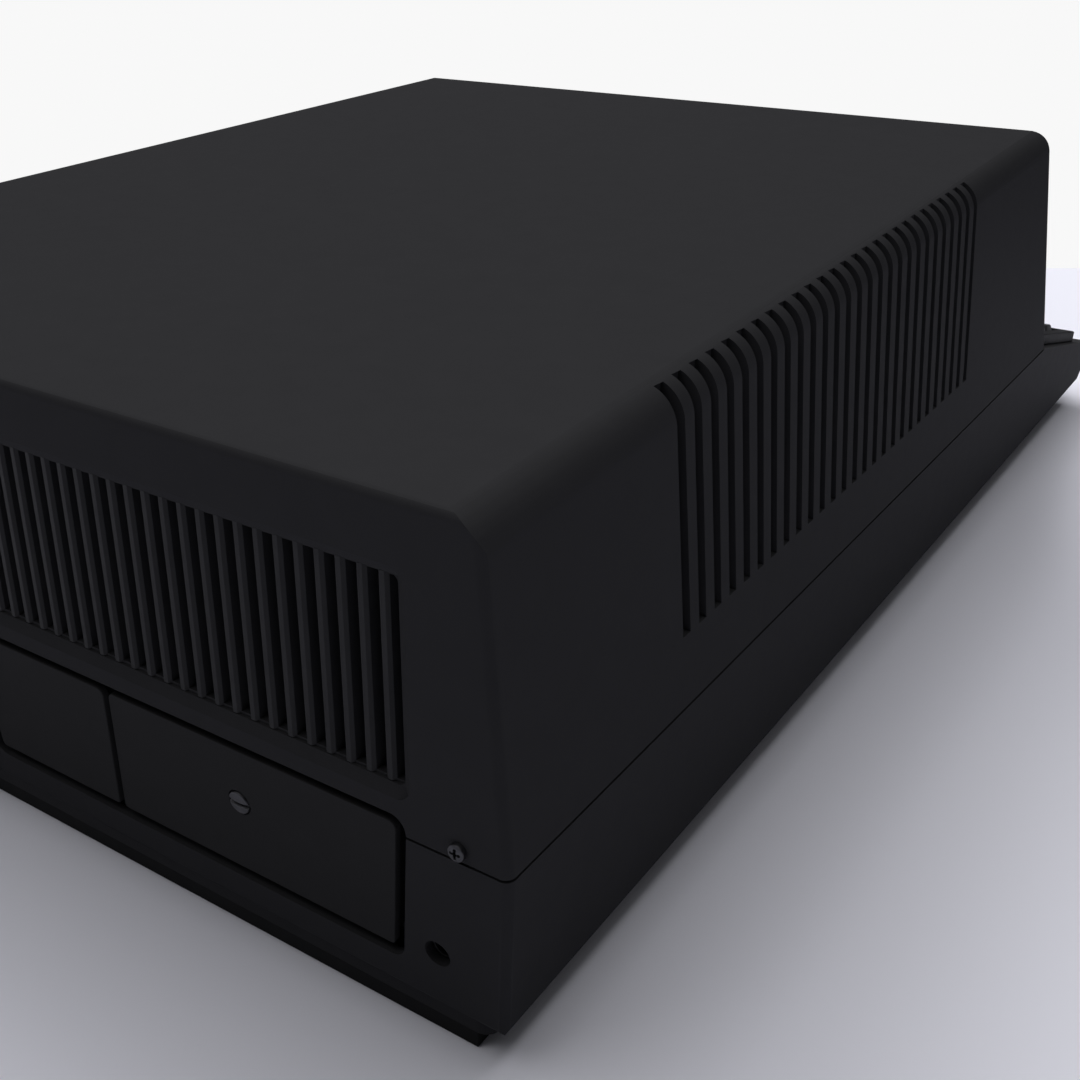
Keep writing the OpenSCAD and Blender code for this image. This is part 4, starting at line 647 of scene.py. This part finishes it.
def cap_top(rim, half_x, half_y, middle, hollow):
    """Rings inwards from the rim. With u and v from -1 to 1 across and along, z falls by
    hollow * (1 - u^2), or rises by a crown, a hollow below 0, times (1 - v^2). Both fade to
    nothing at the rim by the factor 1 - max(|u|, |v|)^6."""
    centre = np.array([0, middle])
    rings = centre + (rim - centre) * TOP_SHARES[:, None, None]
    u, v = rings[..., 0] / half_x, (rings[..., 1] - middle) / half_y
    fade = np.maximum(1 - np.maximum(abs(u), abs(v)) ** RIM_POWER, 0)
    return rings, CAP_H - hollow * (1 - (u if hollow > 0 else v) ** 2) * fade


print("rings over the top:", len(TOP_SHARES), "with a hollow of", CAP_HOLLOW, "mm")

# %% [markdown]
# A cap is a thin moulding, so it is hollow from below. The inside has a flat roof and even walls,
# and its ring at the foot leads over to the outside, which closes the wall there.

# %% The inside, and the whole cap
CAP_WALL, CAP_ROOF, INNER_R, ROOF_SHARE, ROOF_BACK = 1.3, 2.4, 0.8, 0.86, 0.3


def cap_inside(width, length):
    """The space under a cap: a ring at its roof and one at the foot."""
    share = np.array([ROOF_SHARE, 1.0])
    half_x, half_y = (width / 2 - CAP_WALL) * share, (length / 2 - CAP_WALL) * share
    rings = rounded_rings(half_x, half_y, [INNER_R] * 2, [ROOF_BACK, 0.0])
    return rings, np.repeat([[CAP_H - CAP_ROOF], [0.0]], rings.shape[1], 1)


def cap_grid(width, length, hollow):
    """All rings of a cap in turn: inside, outside and top."""
    inner, inner_z = cap_inside(width, length)
    outer, outer_z, half_x, half_y, middle = cap_outside(width, length)
    top, top_z = cap_top(outer[-1], half_x, half_y, middle, hollow)
    rings, heights = np.concatenate([inner, outer, top]), np.concatenate([inner_z, outer_z, top_z])
    return np.concatenate([rings, heights[..., None]], -1)


print("rings and points of one cap:", cap_grid(PITCH - CAP_GAP, PITCH - CAP_GAP, CAP_HOLLOW).shape[:2])

# %% [markdown]
# A cap sits on a square stem that runs down into its switch. All caps of a node are one piece,
# because they hang on one body, and each of them stays a closed shell of its own. The middle of
# the keys, with the gap before the number pad, is the middle of the machine.

# %% All caps of one node
MAIN_PITCHES, PAD_PITCHES, PAD_GAP = 15, 4, 8.0
KEYS_X, KEYS_Y, CAP_FOOT = -((MAIN_PITCHES + PAD_PITCHES) * PITCH + PAD_GAP) / 2, -11.0, -1.5
STEM_SIDE, STEM_R, STEM_FOOT, STEM_HEAD, STEM_ARC_POINTS = 5.9, 0.5, -8.0, 8.5, 3
CAP_CREASE = 40.0


def stem_grid():
    """The square stem under a cap: two rounded squares, at its foot and at its head."""
    half = [STEM_SIDE / 2] * 2
    rings = rounded_rings(half, half, [STEM_R] * 2, [0.0] * 2, STEM_ARC_POINTS)
    heights = np.repeat([[STEM_FOOT], [STEM_HEAD]], rings.shape[1], 1)
    return np.concatenate([rings, heights[..., None]], -1)


def key_piece(node, layout, material, hollow):
    """All caps of one node. A key in the layout is (row, start, width, rows tall) in pitches."""
    grids = []
    for row, start, wide, tall in layout:
        at = np.array([KEYS_X + (start + wide / 2) * PITCH, KEYS_Y - (row + tall / 2) * PITCH, CAP_FOOT])
        grids += [cap_grid(wide * PITCH - CAP_GAP, tall * PITCH - CAP_GAP, hollow) + at, stem_grid() + at]
    points, faces = joined(grids)
    return add_piece(node + "_caps", on_face(points, FRONT_Y, DECK_SLOPE), faces, CAP_CREASE, material,
                     node)


print("first key starts at x %.1f mm" % KEYS_X)

# %% [markdown]
# The letter keys of each row start a little further in than those of the row behind, as on a
# typewriter, and wide keys fill each row up to 15 pitches. The number pad follows after a gap. Most
# of the wide keys are of a lighter grey.

# %% The keyboard's layout
PAD = MAIN_PITCHES + PAD_GAP / PITCH
key_layouts = {
    "number_row_keys": [(0, i, 1, 1) for i in range(13)],
    "upper_row_keys": [(1, 1.5 + i, 1, 1) for i in range(12)] + [(1, 13.5, 1.5, 1)],
    "home_row_keys": [(2, 1.75 + i, 1, 1) for i in range(11)],
    "lower_row_keys": [(3, 2.25 + i, 1, 1) for i in range(10)],
    "bottom_row_keys": [(4, 0, 1.5, 1), (4, 1.5, 1.5, 1), (4, 12, 1.5, 1), (4, 13.5, 1.5, 1)],
    "space_bar": [(4, 3, 9, 1)],
    "return_key": [(2, 12.75, 2.25, 1)],
    "left_shift_key": [(3, 0, 2.25, 1)],
    "right_shift_key": [(3, 12.25, 2.75, 1)],
    "backspace_key": [(0, 13, 2, 1)],
    "tab_key": [(1, 0, 1.5, 1)],
    "control_key": [(2, 0, 1.75, 1)],
    "keypad_keys": [(row, PAD + i, 1, 1) for row in range(3) for i in range(4)]
                   + [(3, PAD + i, 1, 1) for i in range(3)] + [(4, PAD + 2, 1, 1)],
    "keypad_enter_key": [(3, PAD + 3, 1, 2)],
    "keypad_zero_key": [(4, PAD, 2, 1)],
}
grey_keys = ("return_key", "left_shift_key", "right_shift_key", "backspace_key", "tab_key", "control_key",
             "bottom_row_keys", "keypad_enter_key")
key_faces = 0
for node, layout in key_layouts.items():
    finish = key_grey_abs if node in grey_keys else key_abs
    piece = key_piece(node, layout, finish, BAR_CROWN if node == "space_bar" else CAP_HOLLOW)
    key_faces += len(piece.data.polygons)
print("keys:", sum(len(layout) for layout in key_layouts.values()), "with", key_faces, "faces")

# %% [markdown]
# ## Turned shapes
# Shanks, lamps and the button are round, so a profile goes round an axis. Each shape is drawn
# upright with its head up, then laid down with its head out of the face that it sits in.

# %% A profile round an axis, and its place on a face
TURNED_CREASE = 38.0


def lathe_grid(profile, turns):
    """Points of a turned shape: each (radius, height) of the profile goes round the Z axis.
    x = radius cos a, y = radius sin a, z = height, for angles a evenly round the circle."""
    profile = np.asarray(profile, float)
    angle = np.linspace(0, 2 * np.pi, turns, endpoint=False)
    ring = np.stack([np.cos(angle), np.sin(angle), np.zeros_like(angle)], -1)
    return profile[:, :1, None] * ring[None] + np.array([0, 0, 1.0]) * profile[:, 1:, None]


def place_turned(name, node, shapes, way, material, seam_y, lean):
    """Stands shapes on a leaning face and joins them as one piece. A shape is a grid and its place
    in the face's own frame, and way says which side their heads look to."""
    points, faces = joined([facing_out(grid, way) + np.array(at) for grid, at in shapes])
    return add_piece(name, on_face(points, seam_y, lean), faces, TURNED_CREASE, material, node)


print("a profile of 6 points in 32 steps:", lathe_grid([(1.0, z) for z in range(6)], 32).shape[:2])

# %% [markdown]
# ## Screws of the case
# A pan head is a low dome with a cross pressed into it. Its height is a function over a disc: the
# dome's height less the depth of the cross, with a soft edge where the punch went in.

# %% A domed head with slots
DOME_SHARES, DOME_DROP = np.linspace(0.02, 0.9, 17), 0.3
RIM_SHARES, RIM_HEIGHTS = [0.94, 0.97, 0.99, 1.0, 1.0], np.array([0.74, 0.66, 0.52, 0.3, 0.0])
SLOT_EDGE, SLOT_END, HEAD_TURNS = 0.15, 0.2, 72


def soft_step(distance, blend):
    """Goes from 0 to 1 as a distance passes 0, evenly over the blend."""
    return np.clip(distance / blend + 0.5, 0, 1)


def screw_head(radius, height, slots, slot_half, depth):
    """Height over a disc. Dome: h (1 - 0.3 (r/R)^2), down to a rounded rim. A slot at each angle
    takes away its depth within half its width of its line, with a soft edge and soft ends."""
    angle = np.linspace(0, 2 * np.pi, HEAD_TURNS, endpoint=False)
    r, a = np.meshgrid(radius * np.concatenate([DOME_SHARES, RIM_SHARES]), angle, indexing="ij")
    dome = height * (1 - DOME_DROP * (r / radius) ** 2)
    z = dome.copy()
    z[-len(RIM_HEIGHTS):] = height * RIM_HEIGHTS[:, None]
    for line, half_length in slots:
        along, across = r * np.cos(a - line), abs(r * np.sin(a - line))
        cut = soft_step(slot_half - across, SLOT_EDGE) * soft_step(half_length - abs(along), SLOT_END)
        z = np.minimum(z, dome - depth * cut)
    return np.stack([r * np.cos(a), r * np.sin(a), np.maximum(z, 0)], -1)[::-1]


print("a head has", len(DOME_SHARES) + len(RIM_SHARES), "rings of", HEAD_TURNS, "points")

# %% [markdown]
# Two such screws stand proud of the back, one near each end, just above the seam between the two
# shells. Each cross is two slots at right angles.

# %% Two screws in the back
SCREW_X, SCREW_UP, SCREW_HEAD_R, SCREW_HEAD_H = 185.6, 4.0, 2.6, 2.0
CROSS_HALF, CROSS_REACH, CROSS_DEPTH = 0.32, 1.5, 1.1
SCREW_SHANK = [(1.4, -9.0), (1.4, 0.0)]

cross = [(0.0, CROSS_REACH), (math.pi / 2, CROSS_REACH)]
head = screw_head(SCREW_HEAD_R, SCREW_HEAD_H, cross, CROSS_HALF, CROSS_DEPTH)
shank = lathe_grid(SCREW_SHANK, turns=24)
screws = [(shape, (side * SCREW_X, 0.0, SCREW_UP)) for side in (-1, 1) for shape in (head, shank)]
piece = place_turned("rear_screw_heads", "rear_case_screws", screws, 1, screw_black,
                     BACK_Y, UPPER_LEAN)
print("screws:", len(screws) // 2, "with", len(piece.data.polygons), "faces")

# %% [markdown]
# ## Fastener of the larger cover
# The quarter-turn fastener has a wide head with one slot from rim to rim, for a coin. It sits in
# the cover, which leans the other way from the upper shell.

# %% Slotted fastener
FASTENER_AT, FASTENER_R, FASTENER_H = (-104.5, -1.6, -17.2), 3.9, 1.6
SLOT_HALF, SLOT_REACH, SLOT_DEPTH = 0.6, 5.0, 0.9
FASTENER_SHANK = [(2.4, -13.0), (2.4, 0.2)]

fastener_head = screw_head(FASTENER_R, FASTENER_H, [(0.0, SLOT_REACH)], SLOT_HALF, SLOT_DEPTH)
fastener = [(shape, FASTENER_AT) for shape in (fastener_head, lathe_grid(FASTENER_SHANK, turns=32))]
piece = place_turned("fastener_turned", "cover_fastener", fastener, 1, screw_black,
                     BACK_Y, LOWER_LEAN)
print("fastener of", 2 * FASTENER_R, "mm with", len(piece.data.polygons), "faces")

# %% [markdown]
# ## Lamps
# A lamp is a glossy red lens with a domed end, pushed into its hole from behind. One shows the
# power and one the drive.

# %% Two lamps
POWER_LAMP_AT, DRIVE_LAMP_AT = (-24.0, 0.0, 84.0), (43.0, -2.0, 36.44)
LAMP_PROFILE = [(2.5, -9.0), (2.5, -1.2), (2.4, -0.75), (2.1, -0.35), (1.5, -0.1), (0.7, 0.0)]

lens = lathe_grid(LAMP_PROFILE, turns=32)
lamps = [(lens, POWER_LAMP_AT), (lens, DRIVE_LAMP_AT)]
piece = place_turned("lamp_lenses", "indicator_lamps", lamps, -1, lamp_red,
                     FRONT_Y, FRONT_LEAN)
print("lamps:", len(lamps), "with", len(piece.data.polygons), "faces")

# %% [markdown]
# ## Reset button
# The button has a flange behind the panel, a soft rim and a slightly dished face for the fingertip.

# %% Button with a dished face
BUTTON_AT = (-24.0, -2.0, 32.0)
BUTTON_STEM = [(2.0, -15.0), (2.0, -9.0)]
BUTTON_RIM = [(5.0, -9.0), (5.0, -0.8), (4.85, -0.35), (4.5, -0.05), (4.1, 0.0)]
BUTTON_DISH = [(3.4, -0.2), (2.2, -0.45), (0.8, -0.55)]

button = [(lathe_grid(BUTTON_STEM + BUTTON_RIM + BUTTON_DISH, turns=48), BUTTON_AT)]
piece = place_turned("reset_cap", "reset_button", button, -1, button_red,
                     FRONT_Y, FRONT_LEAN)
print("button of", 2 * BUTTON_RIM[0][0], "mm with", len(piece.data.polygons), "faces")

# %% [markdown]
# ## Floor
# The machine stands on a pale floor, which keeps its shadow. The floor is a sheet of its own.
# Its far edge is in the photograph, against the white backdrop.

# %% Pale floor
FLOOR_REACH, FLOOR_DROP = 2.6, 0.0002
FAR_EDGE = ((-0.1047, -0.6348), (-0.1218, -0.6461))
FLOOR_DARK, FLOOR_LIGHT = (236, 236, 247), (240, 240, 250)
FLOOR_CLOUDS, CLOUD_LOW, CLOUD_HIGH = 3.0, 0.2, 0.8
FLOOR_ROUGH, FLOOR_SPECULAR = 0.8, 0.1


def stage_floor():
    """A level sheet just under the feet. Its far edge runs through the two points of FAR_EDGE,
    which lie where the photograph shows it, and it reaches out from there towards the camera."""
    a, b = (np.array(point) for point in FAR_EDGE)
    along = (a - b) / np.linalg.norm(a - b) * FLOOR_REACH
    inward = np.array([-along[1], along[0]])
    middle = (a + b) / 2
    corners = [middle - along, middle + along, middle + along + inward, middle - along + inward]
    points = np.column_stack([np.array(corners), np.full(4, -FLOOR_DROP)])
    mesh = bpy.data.meshes.new("floor")
    mesh.from_pydata(points.tolist(), [], [[0, 1, 2, 3]])
    floor = bpy.data.objects.new("floor", mesh)
    bpy.context.scene.collection.objects.link(floor)
    material, tree, shader = new_material("pale_floor")
    cloud = noise_on_object(tree, FLOOR_CLOUDS)
    tint = ramp_between(tree, cloud, CLOUD_LOW, CLOUD_HIGH, linear(FLOOR_DARK), linear(FLOOR_LIGHT))
    tree.links.new(tint, shader.inputs["Base Color"])
    shader.inputs["Roughness"].default_value = FLOOR_ROUGH
    shader.inputs["Specular IOR Level"].default_value = FLOOR_SPECULAR
    mesh.materials.append(material)


stage_floor()
print("floor: %.1f by %.1f m" % (2 * FLOOR_REACH, FLOOR_REACH))

# %% [markdown]
# ## Surround
# The backdrop is white to the camera alone. As a light the surround is dim, and reflections see
# the dim one too, because the photograph shows no pale sheen on the lid.

# %% White to the camera, dim as a light
SURROUND_TINT, SURROUND_STRENGTH = (0.97, 0.98, 1.0, 1.0), 0.03
WHITE, BACKDROP_STRENGTH = (1.0, 1.0, 1.0, 1.0), 0.939

world = bpy.data.worlds.new("surround")
bpy.context.scene.world = world
world.use_nodes = True
tree = world.node_tree
tree.nodes.clear()
out = tree.nodes.new("ShaderNodeOutputWorld")
dim, white = tree.nodes.new("ShaderNodeBackground"), tree.nodes.new("ShaderNodeBackground")
dim.inputs["Color"].default_value = SURROUND_TINT
dim.inputs["Strength"].default_value = SURROUND_STRENGTH
white.inputs["Color"].default_value = WHITE
white.inputs["Strength"].default_value = BACKDROP_STRENGTH
path, mix = tree.nodes.new("ShaderNodeLightPath"), tree.nodes.new("ShaderNodeMixShader")
tree.links.new(path.outputs["Is Camera Ray"], mix.inputs["Fac"])
tree.links.new(dim.outputs["Background"], mix.inputs[1])
tree.links.new(white.outputs["Background"], mix.inputs[2])
tree.links.new(mix.outputs["Shader"], out.inputs["Surface"])
print("surround:", SURROUND_STRENGTH, "as a light,", BACKDROP_STRENGTH, "to the camera")

# %% [markdown]
# ## Light
# The shadow on the floor in the photograph says where the light comes from: mostly from beyond the
# machine's far right corner, less from overhead, a little from behind and from the left. The large
# front light would lie in the lid like in a mirror, which the photograph doesn't show, so it is
# left out of reflections.

# %% Soft lights
LIGHT_SIZE, LIGHT_DISTANCE, AIM_AT = 4.0, 6.0, Vector((0.0, 0.0, 0.1))


def soft_light(name, azimuth, height, power, in_gloss=True):
    """A square area light that faces the machine, from an azimuth and a height in degrees, which
    are counted as in direction()."""
    place = LIGHT_DISTANCE * direction(math.radians(azimuth), math.radians(height))
    data = bpy.data.lights.new(name, "AREA")
    data.shape, data.size, data.energy = "SQUARE", LIGHT_SIZE, power
    light = bpy.data.objects.new(name, data)
    bpy.context.scene.collection.objects.link(light)
    light.location = place
    light.rotation_mode = "QUATERNION"
    light.rotation_quaternion = (AIM_AT - place).to_track_quat("-Z", "Y")
    light.visible_glossy = in_gloss
    return light


lights = [soft_light("front_light", 45.0, 40.0, 308.0, in_gloss=False),
          soft_light("overhead_light", 0.0, 80.0, 130.0),
          soft_light("rear_light", 135.0, 60.0, 67.0),
          soft_light("left_light", 270.0, 60.0, 18.0)]
bpy.context.scene.view_settings.view_transform = "Standard"
print("lights:", len(lights), "with %.0f W" % sum(light.data.energy for light in lights))
